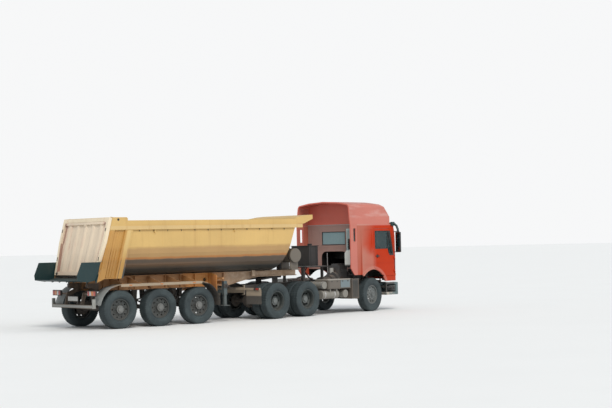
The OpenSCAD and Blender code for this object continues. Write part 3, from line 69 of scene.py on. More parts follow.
# The trailer's and the driven axles, as distances ahead of the kingpin, with their hubs' heights
TRAILER_AXLES, TRAILER_HUB_Z = (-3.38, -4.712, -6.044), 0.536
DRIVE_AXLES, DRIVE_HUB_Z = (0.59, -0.78), 0.525

# The two distances ahead of the kingpin between which the cab's rear wall changes its colour
CAB_REAR = (3.262, 3.268)

# The frames that pieces are drawn in, from the record's own joints
KINGPIN = Vector((*JOINTS["tractor_turn"]["pos_m"][:2], 0.0))
TURN = math.atan2(-JOINTS["cab_tilt"]["axis"][0], JOINTS["cab_tilt"]["axis"][1])
TRAILER = Matrix.Translation(KINGPIN)
TRACTOR = TRAILER @ Matrix.Rotation(TURN, 4, "Z")
GATE = TRAILER @ Matrix.Translation((GATE_X, 0, GATE_Z)) @ Matrix.Rotation(REAR_LEAN, 4, "Y")
PLACES = {"tailgate": GATE, **dict.fromkeys(("tractor", "cab", "door_right", "door_left"), TRACTOR)}


# Node trees


class Value:
    """A socket that can stand in an expression, which then adds its Math nodes."""

    def __init__(self, shader, socket):
        self.shader = shader
        self.socket = socket

    def math(self, operation, *others, clamp=False):
        inputs = dict(enumerate((self, *others)))
        return self.shader.node("ShaderNodeMath", {"operation": operation, "use_clamp": clamp}, inputs)

    def __add__(self, other):
        return self.math("ADD", other)

    def __sub__(self, other):
        return self.math("SUBTRACT", other)

    def __rsub__(self, other):
        return self.shader.node("ShaderNodeMath", {"operation": "SUBTRACT"}, {0: other, 1: self})

    def __mul__(self, other):
        return self.math("MULTIPLY", other)

    __radd__, __rmul__ = __add__, __mul__

    def clamped(self):
        return self.math("ADD", 0.0, clamp=True)

    def absolute(self):
        return self.math("ABSOLUTE")

    def squared(self):
        return self * self

    def above(self, low, high):
        """0 below low, 1 above high, and a smooth step between them."""
        limits = {"Value": self, "From Min": low, "From Max": high}
        return self.shader.node("ShaderNodeMapRange", {"interpolation_type": "SMOOTHSTEP"}, limits)

    def below(self, low, high):
        return 1.0 - self.above(low, high)

    def within(self, low, low_end, high, high_end):
        """1 between two smooth steps."""
        return self.above(low, low_end) * self.below(high, high_end)


class Shader:
    """The node tree of one material."""

    def __init__(self, name):
        self.material = bpy.data.materials.new(name)
        self.material.use_nodes = True
        self.tree = self.material.node_tree
        self.tree.nodes.clear()
        self.place, (self.x, self.y, self.z) = self.split("Object")
        _, (self.nx, self.ny, self.nz) = self.split("Normal")

    def split(self, output):
        """A texture coordinate, whole and as its three parts."""
        whole = self.node("ShaderNodeTexCoord", output=output)
        parts = self.node("ShaderNodeSeparateXYZ", inputs={0: whole}).socket.node
        return whole, [Value(self, socket) for socket in parts.outputs]

    def node(self, kind, settings=None, inputs=None, output=0):
        """Adds a node, sets its settings first and then its sockets, and gives one of its outputs."""
        made = self.tree.nodes.new(kind)
        for key, value in (settings or {}).items():
            setattr(made, key, value)
        for key, value in (inputs or {}).items():
            if isinstance(value, Value):
                self.tree.links.new(value.socket, made.inputs[key])
            else:
                made.inputs[key].default_value = value
        return Value(self, made.outputs[output])

    def noise(self, scale, detail=4.0, roughness=0.55, stretch=None):
        """Noise on the piece's own coordinates, stretched along an axis where that is given."""
        place = self.place
        if stretch:
            place = self.node("ShaderNodeMapping", inputs={"Vector": place, "Scale": stretch})
        inputs = {"Vector": place, "Scale": scale, "Detail": detail, "Roughness": roughness}
        return self.node("ShaderNodeTexNoise", inputs=inputs, output="Fac")

    def mix(self, factor, first, second):
        """Mixes two colours, each a tuple or a socket."""
        first, second = (c if isinstance(c, Value) else (*c[:3], 1.0) for c in (first, second))
        settings = {"data_type": "RGBA", "clamp_factor": True}
        return self.node("ShaderNodeMix", settings, {0: factor, 6: first, 7: second}, output=2)

    def layered(self, colour, *layers):
        """Lays colours over the first one in turn, each as a factor and a colour."""
        for factor, over in layers:
            colour = self.mix(factor, colour, over)
        return colour

    def scaled(self, colour, factor):
        """A colour made lighter or darker by a factor that may vary."""
        grey = self.node("ShaderNodeCombineXYZ", inputs={0: factor, 1: factor, 2: factor})
        colour = colour if isinstance(colour, Value) else colour[:3]
        return self.node("ShaderNodeVectorMath", {"operation": "MULTIPLY"}, {0: colour, 1: grey})

    def bump(self, height, strength=0.3, distance=0.002):
        return self.node("ShaderNodeBump", inputs={"Height": height, "Strength": strength, "Distance": distance})

    def finish(self, **sockets):
        """Ends the tree in one Principled shader, with the sockets that are named by keyword."""
        inputs = {key.replace("_", " ").title().replace("Ior", "IOR"): value for key, value in sockets.items()}
        surface = self.node("ShaderNodeBsdfPrincipled", inputs=inputs)
        end = self.tree.nodes.new("ShaderNodeOutputMaterial")
        self.tree.links.new(surface.socket, end.inputs["Surface"])
        return self.material


# Finishes

DUST = (0.25, 0.205, 0.165)
MUD = (0.085, 0.075, 0.066)
BLACK = (0.02, 0.024, 0.025)


def darker(colour, factor):
    return [c * factor for c in colour]


def dirt(shader, amount, low=0.35, high=1.5):
    """How much dust lies on the surface: more on top faces, in streaks down the sides, and near the ground."""
    cloud = shader.noise(1.4, 6.0)
    fine = shader.noise(17.0, 5.0, 0.65)
    streak = shader.noise(5.0, 3.0, stretch=(3.0, 3.0, 0.22))
    top = shader.nz.above(0.45, 0.95)
    splash = (shader.z + cloud * 0.7).below(low + 0.3, high + 0.5)
    mask = cloud * 0.55 + fine * 0.3 + streak * 0.45 - 0.62
    return (mask.above(0.0, 0.5) * 0.55 + top * fine * 0.85 + splash * (0.35 + fine * 0.5)) * amount


def paint(name, colour, amount, rough=0.42, metallic=0.0, wear=0.25, low=0.35, high=1.5, grain=0.25, tint=None,
          shine=0.5):
    """Weathered paint or plastic. tint(shader, colour) may change the colour over the piece."""
    shader = Shader(name)
    broad = shader.noise(0.8, 4.0)
    fine = shader.noise(46.0, 6.0, 0.7)
    base = shader.scaled(tint(shader, colour) if tint else colour, 0.8 + broad * 0.34 + fine * 0.06)
    chips = shader.noise(24.0, 8.0, 0.66) + shader.noise(2.6, 4.0) * 0.45
    chips = chips.above(1.02 - wear * 0.25, 1.07 - wear * 0.25)
    dirty = dirt(shader, amount, low, high).clamped()
    mud = (shader.z + shader.noise(3.0, 5.0) * 0.5).below(low * 0.9, low + 0.75) * 0.55
    base = shader.layered(
        base,
        (chips * min(0.8, wear * 2.5), (0.13, 0.075, 0.05)),
        (dirty, shader.mix(shader.noise(9.0, 3.0), DUST, darker(DUST, 0.72))),
        (mud * amount, MUD),
    )
    roughness = (dirty * (0.92 - rough) + rough + (fine - 0.5) * 0.14 + chips * 0.15).clamped()
    height = fine * 0.5 + shader.noise(140.0, 3.0) * dirty + chips * -0.4
    sockets = {"metallic": ((1.0 - dirty) * metallic).clamped()} if metallic else {}
    return shader.finish(base_color=base, roughness=roughness, specular_ior_level=shine,
                         normal=shader.bump(height, grain, 0.003), **sockets)


def rubber(name, colour, amount=0.8, dust=(0.08, 0.106, 0.11)):
    """Tyre rubber with dust in its grooves and on its sidewalls."""
    shader = Shader(name)
    fine = shader.noise(60.0, 6.0, 0.7)
    cloud = shader.noise(3.5, 5.0)
    mask = ((cloud * 0.75 + fine * 0.45).above(0.38, 0.85) * 0.75 + 0.14) * amount
    dusty = shader.mix(shader.noise(11.0), dust, darker(dust, 0.6))
    base = shader.mix(mask, shader.scaled(colour, 0.75 + fine * 0.5), dusty)
    return shader.finish(base_color=base, roughness=(mask * 0.22 + 0.7).clamped(), normal=shader.bump(fine, 0.3))


def metal(name, colour, amount, rough=0.35, metallic=1.0, rust=0.2):
    """Bare, cast or polished metal with some rust and dust."""
    shader = Shader(name)
    fine = shader.noise(38.0, 7.0, 0.7)
    rusty = shader.noise(6.0, 8.0, 0.7) + shader.nz * 0.02
    rusty = rusty.above(0.62 - rust * 0.35, 0.78 - rust * 0.2) * min(1.0, rust * 4.0)
    dirty = dirt(shader, amount).clamped()
    return shader.finish(
        base_color=shader.layered(
            shader.scaled(colour, 0.8 + fine * 0.4),
            (rusty, shader.mix(fine, (0.15, 0.062, 0.03), (0.26, 0.13, 0.065))),
            (dirty, DUST),
        ),
        roughness=(dirty * (0.9 - rough) + rough + rusty * 0.35 + (fine - 0.5) * 0.15).clamped(),
        metallic=((1.0 - dirty) * (1.0 - rusty) * metallic).clamped(),
        normal=shader.bump(fine + rusty * 0.6, 0.25),
    )


def clear(name, colour, amount, opacity, rough, tint=None):
    """Window glass or a clear lens with dust on it. tint(shader, colour) gives a colour and a rise in opacity."""
    shader = Shader(name)
    if tint:
        colour, more = tint(shader, colour)
        opacity = more + opacity
    fine = shader.noise(30.0, 6.0, 0.7)
    dirty = (dirt(shader, amount) + fine * 0.1 * amount).clamped()
    return shader.finish(
        base_color=shader.mix(dirty, colour, (0.5, 0.45, 0.4)), roughness=(dirty * 0.6 + rough).clamped(),
        alpha=(dirty * 0.55 + opacity).clamped(), normal=shader.bump(shader.noise(2.0, 2.0), 0.04),
    )


def lens(name, colour, amount=0.35):
    """A coloured lamp lens with ribs and dust."""
    shader = Shader(name)
    ribs = (shader.z * 520.0).math("SINE") * 0.5 + (shader.y * 520.0).math("SINE") * 0.5
    fine = shader.noise(40.0, 5.0)
    dirty = (dirt(shader, amount) * 0.8 + fine * 0.08).clamped()
    return shader.finish(
        base_color=shader.mix(dirty, shader.scaled(colour, 0.8 + fine * 0.3 + ribs * 0.08), DUST),
        roughness=(dirty * 0.6 + 0.16).clamped(), coat_weight=(0.6 - dirty * 0.6).clamped(),
        normal=shader.bump(ribs, 0.35, 0.001),
    )


def cloth(name, colour, weave=900.0):
    """Seat cloth with a fine weave."""
    shader = Shader(name)
    wave = [(axis * weave).math("SINE") for axis in (shader.x, shader.y, shader.z)]
    thread = wave[0] * wave[1] + wave[2] * 0.5
    fine = shader.noise(50.0, 5.0)
    base = shader.scaled(colour, 0.7 + shader.noise(4.0, 4.0) * 0.5 + thread * 0.06)
    return shader.finish(base_color=base, roughness=(fine * 0.1 + 0.82).clamped(),
                         normal=shader.bump(thread + fine, 0.4, 0.001))


# Colours that change over a piece


def tractor_axes(at):
    """Distances ahead of the kingpin and from the tractor's middle."""
    x, y = at.x - KINGPIN.x, at.y - KINGPIN.y
    return x * math.cos(TURN) + y * math.sin(TURN), (y * math.cos(TURN) - x * math.sin(TURN)).absolute()


def bed_tint(at, colour):
    """The bed: light above its bend, tan below, brown under a rusty line, bare steel inside and a dark chute."""
    wave = (at.noise(2.2, 4.0) - 0.5) * 0.1
    ahead, across = at.x - KINGPIN.x, at.y - KINGPIN.y
    out = across.absolute()
    lean = ahead + (GATE_Z - at.z) * math.tan(REAR_LEAN) - GATE_X
    bottom, stripe = at.z + wave * 0.7, at.z + wave * 0.6
    wall = at.z.below(2.72, 2.74)
    inward = (across * at.ny + (at.z - 2.75) * at.nz) * -1.0
    streaks = at.noise(3.2, 5.0, 0.6, stretch=(2.2, 2.2, 0.1)).above(0.5, 0.8)
    return at.layered(
        colour,
        (at.z.within(2.75, 2.76, 2.855, 2.862) * 0.45, (0.62, 0.46, 0.24)),
        (streaks * 0.4, (0.43, 0.24, 0.075)),
        ((at.z + wave).below(2.18, 2.3) * 0.85, (0.4, 0.235, 0.095)),
        # Painted shade: the underside that curves away below the rusty line is painted brown, and dark lower down in
        # the next layer
        (bottom.below(1.88, 1.97) * 0.93, (0.088, 0.068, 0.054)),
        ((at.z + wave * 0.5).below(1.62, 1.7) * 0.8, (0.034, 0.042, 0.042)),
        (bottom.within(1.9, 1.93, 1.95, 1.99) * 0.8, (0.42, 0.155, 0.035)),
        (stripe.within(1.7, 1.72, 1.79, 1.82) * ahead.below(-3.6, -1.6) * 0.55, (0.2, 0.115, 0.062)),
        (lean.below(0.56, 0.57) * (out.above(1.187, 1.1875) * wall) * 0.85,
         at.mix(at.noise(2.6, 5.0), (0.52, 0.27, 0.055), (0.4, 0.19, 0.045))),
        (lean.within(0.575, 0.585, 0.7, 0.71) * out.above(1.2165, 1.2175) * wall * 0.9,
         at.mix(at.z.above(1.7, 2.4), (0.5, 0.27, 0.065), (0.62, 0.43, 0.17))),
        (inward.above(0.3, 0.55) * at.x.above(-5.9, -5.5) * at.x.below(1.24, 1.28),
         at.mix(at.noise(7.0, 6.0, 0.7), (0.23, 0.17, 0.12), (0.34, 0.3, 0.26))),
        (lean.below(-0.055, -0.045) * at.z.below(1.9, 1.92), (0.006, 0.028, 0.03)),
    )


def frame_tint(at, colour):
    """The trailer's frame: brighter orange paint just behind the landing legs, rusty along the neck."""
    ahead = at.x - KINGPIN.x
    rust = at.mix(at.noise(6.0, 6.0, 0.7).above(0.4, 0.62), (0.5, 0.38, 0.27), (0.38, 0.26, 0.17))
    return at.layered(
        colour,
        (ahead.within(-3.6, -3.4, -2.52, -2.45) * 0.9, (0.62, 0.27, 0.065)),
        (ahead.above(-2.4, -1.6) * 0.85, rust),
        # Dark low at the rear end under the chute: partly dirt, partly painted shade
        (ahead.below(-6.4, -6.2) * at.z.below(1.26, 1.3) * 0.85, (0.05, 0.05, 0.046)),
    )


def gate_tint(at, colour):
    """The tailgate: cream, browner low down, with faded red strips by its edges."""
    across = (at.y - KINGPIN.y).absolute()
    wave = (at.noise(3.0, 4.0) - 0.5) * 0.25
    pink = at.noise(2.4, 5.0, 0.6, stretch=(2.0, 2.0, 0.14)).above(0.52, 0.74) * across.below(1.1, 1.12)
    strip = across.within(0.94, 0.96, 1.02, 1.06) * (at.noise(9.0, 5.0) * 1.6 - 0.3).clamped()
    edge = across + (2.398 - at.z).clamped() * 0.15
    # Painted shade: a dark line in the recess where the pressed panel meets the frame
    groove_shade = (edge + at.z.above(2.33, 2.46) * 0.045).above(1.072, 1.085) * edge.below(1.136, 1.14)
    rim = (edge.above(1.15, 1.158) + at.z.above(2.985, 2.995)).clamped()
    return at.layered(
        colour,
        ((at.z + wave).below(1.4, 2.3) * 0.35, (0.36, 0.27, 0.2)),
        (pink * 0.45, (0.52, 0.3, 0.22)),
        (strip * 0.4, (0.45, 0.17, 0.11)),
        (groove_shade * at.z.below(2.96, 2.975) * 0.75, (0.24, 0.1, 0.075)),
        (rim * 0.55, (0.8, 0.68, 0.48)),
    )


def cab_tint(at, colour):
    """The cab: faded and dusty at the rear, stronger red towards the front and low down."""
    ahead, across = tractor_axes(at)
    fresh = ahead + (2.9 - at.z) * 0.35 + (at.noise(1.2, 3.0) - 0.5) * 0.5
    rear = ahead.below(*CAB_REAR) * across.below(1.12, 1.13)
    # Painted highlight: a lighter pink band along the lip of the front wheel arch
    reach = (ahead - 3.835).squared() + (at.z - 0.68).squared()
    lip_highlight = reach.within(0.42, 0.45, 0.57, 0.64) * at.z.above(0.85, 1.0)
    behind = ahead.within(*CAB_REAR, 4.98, 5.02)
    dusty = (at.z + at.noise(1.8, 5.0) * 0.6).below(2.0, 2.5) * ahead.below(3.75, 4.05) * ahead.above(CAB_REAR[0], 3.3)
    # Painted shade: inside the tunnel behind the rear wall and under the cab the shell is painted near black
    tunnel_shade = behind * across.below(0.6, 0.61) * at.z.below(2.0, 2.01)
    under = behind * across.below(1.135, 1.142) * at.z.below(1.42, 1.44)
    return at.layered(
        colour,
        (fresh.below(3.35, 4.05) * 0.7, (0.44, 0.175, 0.125)),
        (rear * 0.85, (0.35, 0.255, 0.225)),
        (lip_highlight * (1.0 - rear) * 0.42, (0.62, 0.27, 0.22)),
        (at.z.above(2.79, 2.8) * (1.0 - rear) * 0.45, (0.62, 0.33, 0.29)),
        (dusty * 0.5, (0.5, 0.27, 0.21)),
        ((tunnel_shade + under).clamped(), (0.014, 0.014, 0.014)),
    )


def roof_tint(at, colour):
    """The roof: a dark visor in front, and in the shade of the overhang a darker rear wall."""
    ahead, across = tractor_axes(at)
    backward = at.nx * -math.cos(TURN) - at.ny * math.sin(TURN)
    shaded = (backward.above(0.5, 0.6) + (at.nz * -1.0).above(0.3, 0.4)).clamped()
    # Pale streaks along the top: partly worn paint, partly painted reflection highlight
    wear_and_highlight = at.noise(1.6, 5.0, 0.6, stretch=(0.6, 0.6, 3.4)).above(0.45, 0.68) * at.z.above(2.98, 3.15)
    return at.layered(
        colour,
        (wear_and_highlight * 0.38, (0.66, 0.47, 0.43)),
        (ahead.below(*CAB_REAR) * shaded * 0.9, (0.66, 0.15, 0.105)),
        (ahead.above(4.906, 4.91) * at.z.below(2.918, 2.922) * across.below(1.002, 1.006), (0.006, 0.03, 0.028)),
    )


def rail_tint(at, colour):
    """The tractor's frame: dark, with the mud flaps dusty above and black below."""
    flap = at.mix(at.z.above(0.7, 0.74), BLACK, (0.36, 0.29, 0.21))
    return at.mix(tractor_axes(at)[0].below(-1.44, -1.43), colour, flap)


def hubs(at, ahead, axles, height, low, high):
    """Discs round the ends of axles."""
    up = (at.z - height).squared()
    return [((ahead - x).squared() + up).below(low, high) for x in axles]


def rim_tint(at, colour):
    """The tractor's rims: dark at the driven wheels, round lighter hubs, and lighter in front."""
    ahead, _ = tractor_axes(at)
    first, second = hubs(at, ahead, DRIVE_AXLES, DRIVE_HUB_Z, 0.0125, 0.014)
    return at.mix((first + second + ahead.above(3.0, 3.1)).clamped(), colour, (0.155, 0.175, 0.175))


def trailer_rim_tint(at, colour):
    """The trailer's rims: dark, round lighter hubs."""
    first, second, third = hubs(at, at.x - KINGPIN.x, TRAILER_AXLES, TRAILER_HUB_Z, 0.0115, 0.013)
    return at.mix((first + second + third).clamped(), colour, (0.2, 0.21, 0.205))


def glass_tint(at, colour):
    """The glass: a lighter, dustier rear window."""
    ahead, across = tractor_axes(at)
    rear = ahead.below(3.3, 3.32) * across.below(0.6, 0.62)
    return at.mix(rear, colour, (0.22, 0.34, 0.36)), rear * 0.3


def tank_tint(at, colour):
    """The tanks: a brown one behind the cab, paler air tanks low down."""
    return at.mix(at.z.below(1.3, 1.4), colour, (0.235, 0.23, 0.205))


def box_tint(at, colour):
    """The boxes: tan with pale upper edges, a blue-grey front door, and the battery box dark in a brown frame."""
    ahead, across = tractor_axes(at)
    inner = ahead.within(2.745, 2.75, 3.01, 3.015) * at.z.within(0.5, 0.505, 1.04, 1.045)
    brown = at.mix(at.noise(14.0, 6.0, 0.7), (0.055, 0.042, 0.033), (0.085, 0.07, 0.058))
    return at.layered(
        colour,
        (at.z.above(1.072, 1.082), (0.36, 0.34, 0.3)),
        (ahead.above(2.1, 2.11) * across.above(1.19, 1.195) * at.z.below(1.06, 1.07), (0.15, 0.205, 0.225)),
        (ahead.above(2.66, 2.67), at.mix(inner, brown, (0.02, 0.025, 0.026))),
    )


def bumper_tint(at, colour):
    """The bumper: dark round the steps, teal at its corners, with a pale lower edge."""
    step = tractor_axes(at)[0].below(4.88, 4.89)
    edge = at.z.below(0.592, 0.596) * at.noise(9.0, 5.0).above(0.36, 0.56)
    # The black round the steps is painted shade
    return at.layered(colour, (step * at.z.above(0.592, 0.596), BLACK), (step * edge, (0.42, 0.38, 0.32)))


def intake_tint(at, colour):
    """The intake: grey duct with a dark slot, a paler filter housing and a dark foot."""
    _, across = tractor_axes(at)
    # Painted shade: the slot's face is painted near black for the shade inside the opening
    slot = (at.nx * -1.0).above(0.5, 0.6) * across.within(0.835, 0.838, 0.935, 0.938)
    slot = slot * at.z.within(2.02, 2.025, 2.36, 2.365)
    dark = (slot + at.z.below(1.5, 1.56)).clamped()
    return at.layered(colour, (at.z.below(1.99, 1.998), (0.72, 0.74, 0.7)), (dark, (0.016, 0.018, 0.018)))


def guard_tint(at, colour):
    """The mudguards: tan along the top, lighter at the rear, black rubber at the front."""
    ahead = at.x - KINGPIN.x
    return at.layered(
        colour, (ahead.below(-6.3, -6.24), (0.28, 0.31, 0.31)), (ahead.above(-3.12, -3.08), (0.03, 0.034, 0.035)))


# Each slot's maker, material's name, colour (or the setting that holds it), share of dust and other values
FINISHES = {
    "bed_yellow": (paint, "bed_paint", "bed_colour", 0.3, dict(rough=0.5, wear=0.16, tint=bed_tint, low=0.2, high=0.7)),
    "gate_cream": (paint, "gate_paint", "gate_colour", 0.36,
                   dict(rough=0.55, wear=0.16, tint=gate_tint, low=0.2, high=0.7)),
    "trailer_frame": (paint, "trailer_frame_paint", (0.42, 0.205, 0.08), 0.6,
                      dict(rough=0.6, wear=0.3, tint=frame_tint)),
    "running_gear": (paint, "running_gear_paint", (0.026, 0.025, 0.025), 0.6, dict(rough=0.62, wear=0.3, grain=0.45)),
    "mudguard": (paint, "mudguard_paint", (0.36, 0.28, 0.19), 0.65, dict(rough=0.6, wear=0.2, tint=guard_tint)),
    "leg_grey": (paint, "leg_paint", (0.06, 0.09, 0.098), 0.4, dict(rough=0.5, wear=0.3)),
    "lamp_red": (lens, "lamp_red_lens", (0.42, 0.03, 0.02), None, {}),
    "tank_beige": (paint, "tank_paint", (0.145, 0.125, 0.1), 0.55, dict(rough=0.55, tint=tank_tint)),
    "hoist_barrel": (paint, "hoist_barrel_paint", (0.07, 0.07, 0.075), 0.7, dict(rough=0.45, wear=0.3)),
    "hoist_tube": (metal, "hoist_tube_chrome", (0.72, 0.72, 0.72), 0.25, dict(rough=0.16, rust=0.02)),
    "tractor_frame": (paint, "tractor_frame_paint", (0.034, 0.031, 0.03), 0.55,
                      dict(rough=0.6, wear=0.3, tint=rail_tint)),
    "cab_red": (paint, "cab_paint", "cab_colour", 0.12,
                dict(rough=0.48, shine=0.15, wear=0.08, tint=cab_tint, grain=0.08, low=0.55, high=1.7)),
    "roof_pink": (paint, "roof_paint", "roof_colour", 0.24,
                  dict(rough=0.48, shine=0.3, wear=0.05, tint=roof_tint, grain=0.08, low=0.2, high=0.6)),
    "glass": (clear, "window_glass", (0.014, 0.042, 0.046), 0.5, dict(opacity=0.62, rough=0.04, tint=glass_tint)),
    "interior": (cloth, "interior_cloth", (0.075, 0.072, 0.07), None, {}),
    "intake_grey": (paint, "intake_plastic", (0.4, 0.5, 0.5), 0.3, dict(rough=0.6, wear=0.03, tint=intake_tint)),
    "trim_black": (paint, "trim_plastic", (0.022, 0.022, 0.022), 0.5, dict(rough=0.5, wear=0.03)),
    "bumper_teal": (paint, "bumper_plastic", (0.085, 0.145, 0.155), 0.3, dict(rough=0.5, wear=0.03, tint=bumper_tint)),
    "lamp_clear": (clear, "lamp_lens", (0.85, 0.87, 0.88), None, dict(amount=0.5, opacity=0.55, rough=0.08)),
    "engine_iron": (metal, "engine_iron", (0.1, 0.1, 0.1), 0.8, dict(rough=0.6, metallic=0.5, rust=0.25)),
    "tank_metal": (metal, "tank_metal", (0.38, 0.38, 0.37), 0.8, dict(rough=0.42, metallic=0.8, rust=0.1)),
    "box_tan": (paint, "box_paint", (0.12, 0.105, 0.088), 0.45, dict(rough=0.6, tint=box_tint)),
    "tyre": (rubber, "tyre_rubber", (0.014, 0.022, 0.025), None, {}),
    "rim_trailer": (paint, "trailer_rim_paint", (0.04, 0.052, 0.054), 0.3,
                    dict(rough=0.5, metallic=0.4, wear=0.3, tint=trailer_rim_tint)),
    "rim_tractor": (paint, "tractor_rim_paint", (0.03, 0.046, 0.048), 0.26,
                    dict(rough=0.5, metallic=0.4, wear=0.3, tint=rim_tint)),
    # Finishes of parts that share a solid's slot
    "amber_lens": (lens, "lamp_amber_lens", (0.6, 0.17, 0.015), None, {}),
    "white_lens": (lens, "lamp_white_lens", (0.62, 0.62, 0.6), None, {}),
    "strip": (paint, "reflective_strip", (0.3, 0.31, 0.29), 0.5, dict(rough=0.35, wear=0.1)),
    "blank_plate": (paint, "blank_plate", (0.58, 0.58, 0.55), 0.6, dict(rough=0.4, wear=0.05)),
    "aluminium": (metal, "aluminium", (0.55, 0.55, 0.54), 0.5, dict(rough=0.38, metallic=0.9, rust=0.03)),
    "mirror_glass": (metal, "mirror_glass", (0.1, 0.15, 0.155), 0.1, dict(rough=0.05, rust=0.0)),
    "mirror_green": (paint, "mirror_green", (0.006, 0.034, 0.032), 0.15, dict(rough=0.4, wear=0.02)),
    "grease": (metal, "grease", (0.03, 0.026, 0.022), 0.5, dict(rough=0.3, metallic=0.2, rust=0.0)),
    "orange_paint": (paint, "orange_paint", (0.5, 0.2, 0.06), 0.5, dict(rough=0.55, wear=0.3)),
    "white_plastic": (paint, "white_plastic", (0.5, 0.49, 0.45), 0.6, dict(rough=0.5, wear=0.02)),
    "seat_cloth": (cloth, "seat_cloth", (0.1, 0.105, 0.12), None, {}),
    "mattress": (cloth, "mattress_cloth", (0.16, 0.15, 0.14), None, dict(weave=700.0)),
}
MADE = {}


def finish_of(slot):
    """The material of one of the record's slots, made once."""
    if slot not in MADE:
        look = bpy.context.scene.lorry_looks
        maker, name, colour, dust, values = FINISHES[slot]
        if isinstance(colour, str):
            colour = getattr(look, colour)
        if dust:
            values = {"amount": dust * look.dust, **values}
        MADE[slot] = maker(name, colour, **values)
    return MADE[slot]


# Shapes


def plane_point(axis, p, t):
    """A point from its two values in a plane and its value along the plane's axis."""
    return {"X": (t, p[0], p[1]), "Y": (p[0], t, p[1]), "Z": (p[0], p[1], t)}[axis]


def round_steps(count):
    return [2 * math.pi * i / count for i in range(count)]


class Shape:
    """A mesh that is put together from plain parts in the trailer's or the tractor's frame."""

    def __init__(self):
        self.mesh = bmesh.new()

    def _moved(self, verts, matrix):
        if matrix is not None:
            bmesh.ops.transform(self.mesh, matrix=matrix, verts=verts)

    def _bevelled(self, verts, bevel, segments):
        edges = {e for v in verts for e in v.link_edges}
        made = bmesh.ops.bevel(self.mesh, geom=[*verts, *edges], offset=bevel, segments=segments, affect="EDGES",
                               profile=0.5)
        return list({v for f in made["faces"] for v in f.verts} | {v for v in verts if v.is_valid})

    def box(self, low, high, bevel=0.0, matrix=None, segments=2):
        made = bmesh.ops.create_cube(self.mesh, size=1.0)["verts"]
        low, high = Vector(low), Vector(high)
        for v in made:
            v.co = Vector([low[i] + (v.co[i] + 0.5) * (high[i] - low[i]) for i in range(3)])
        if bevel:
            made = self._bevelled(made, bevel, segments)
        self._moved(made, matrix)

    def beside(self, side, low, high, bevel=0.0, segments=2):
        """A box on one side of the middle: its Y values are distances from it."""
        near, far = sorted((side * low[1], side * high[1]))
        self.box((low[0], near, low[2]), (high[0], far, high[2]), bevel, segments=segments)

    def both(self, low, high, bevel=0.0, segments=2):
        """Two boxes, one on each side of the middle."""
        for _, s in SIDES:
            self.beside(s, low, high, bevel, segments)

    def prism(self, outline, axis, low, high, bevel=0.0):
        """An outline in the two axes that aren't the given one, made solid from low to high along it."""
        ends = [[self.mesh.verts.new(plane_point(axis, p, t)) for p in outline] for t in (low, high)]
        faces = [self.mesh.faces.new(ends[0][::-1]), self.mesh.faces.new(ends[1])]
        n = len(outline)
        for i in range(n):
            j = (i + 1) % n
            faces.append(self.mesh.faces.new((ends[0][i], ends[0][j], ends[1][j], ends[1][i])))
        bmesh.ops.recalc_face_normals(self.mesh, faces=faces)
        if bevel:
            self._bevelled([*ends[0], *ends[1]], bevel, 2)

    def rod(self, a, b, radius, sides=16, radius2=None, matrix=None):
        """A round or many-sided bar from one point to another, or a cone where its second radius is given."""
        a, b = Vector(a), Vector(b)
        made = bmesh.ops.create_cone(
            self.mesh, cap_ends=True, segments=sides, radius1=radius, radius2=radius if radius2 is None else radius2,
            depth=(b - a).length)["verts"]
        turn = (b - a).to_track_quat("Z", "Y").to_matrix().to_4x4()
        self._moved(made, Matrix.Translation((a + b) / 2) @ turn)
        self._moved(made, matrix)

    def lathe(self, profile, steps=64, matrix=None):
        """Turns a loop of (radius, height) points about Z."""
        rings = [[self.mesh.verts.new((r * math.cos(a), r * math.sin(a), z)) for r, z in profile]
                 for a in round_steps(steps)]
        n = len(profile)
        for here, there in zip(rings, rings[1:] + rings[:1]):
            for k in range(n):
                self.mesh.faces.new((here[k], there[k], there[(k + 1) % n], here[(k + 1) % n]))
        self._moved([v for ring in rings for v in ring], matrix)

    def tube(self, points, radius, sides=10):
        """A round bar along a smooth run of points."""
        points = [Vector(p) for p in points]
        rings = []
        side = None
        for i, p in enumerate(points):
            ahead = (points[min(i + 1, len(points) - 1)] - points[max(i - 1, 0)]).normalized()
            if side is None:
                side = ahead.orthogonal().normalized()
            side = (side - ahead * side.dot(ahead)).normalized()
            up = ahead.cross(side)
            rings.append([self.mesh.verts.new(p + (side * math.cos(a) + up * math.sin(a)) * radius)
                          for a in round_steps(sides)])
        for here, there in zip(rings, rings[1:]):
            for k in range(sides):
                self.mesh.faces.new((here[k], here[(k + 1) % sides], there[(k + 1) % sides], there[k]))
        self.mesh.faces.new(rings[0][::-1])
        self.mesh.faces.new(rings[-1])

    def piece(self, name, body, slot, finish=None, replaces=(), smooth=32.0, place=None):
        """Ends the shape as one object that rides on a body and wears a slot's finish."""
        bmesh.ops.recalc_face_normals(self.mesh, faces=self.mesh.faces)
        bmesh.ops.transform(self.mesh, matrix=place_of(body, place), verts=self.mesh.verts)
        return settled(name, plain_mesh(name, self.mesh), body, slot, finish, replaces, smooth)


def place_of(body, place=None):
    """The matrix that puts a body's pieces in place, unless another one is given."""
    return PLACES.get(body, TRAILER) if place is None else place


def plain_mesh(name, whole):
    """Ends a bmesh as a mesh."""
    mesh = bpy.data.meshes.new(name)
    whole.to_mesh(mesh)
    whole.free()
    return mesh


def settled(name, mesh, body, slot, finish=None, replaces=(), smooth=32.0):
    """Makes a mesh, whose place is in its points already, a piece of the object."""
    mesh.materials.clear()
    mesh.materials.append(finish_of(finish or slot))
    mesh.shade_smooth()
    mesh.set_sharp_from_angle(angle=math.radians(smooth))
    piece = bpy.data.objects.new(name, mesh)
    bpy.context.scene.collection.objects.link(piece)
    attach(piece, body)
    if replaces:
        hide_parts(*replaces)
    return piece


# Geometry Nodes: repeated small parts

SIDEWAYS = (math.pi / 2, 0.0, 0.0)
ALONG = (0.0, math.pi / 2, 0.0)


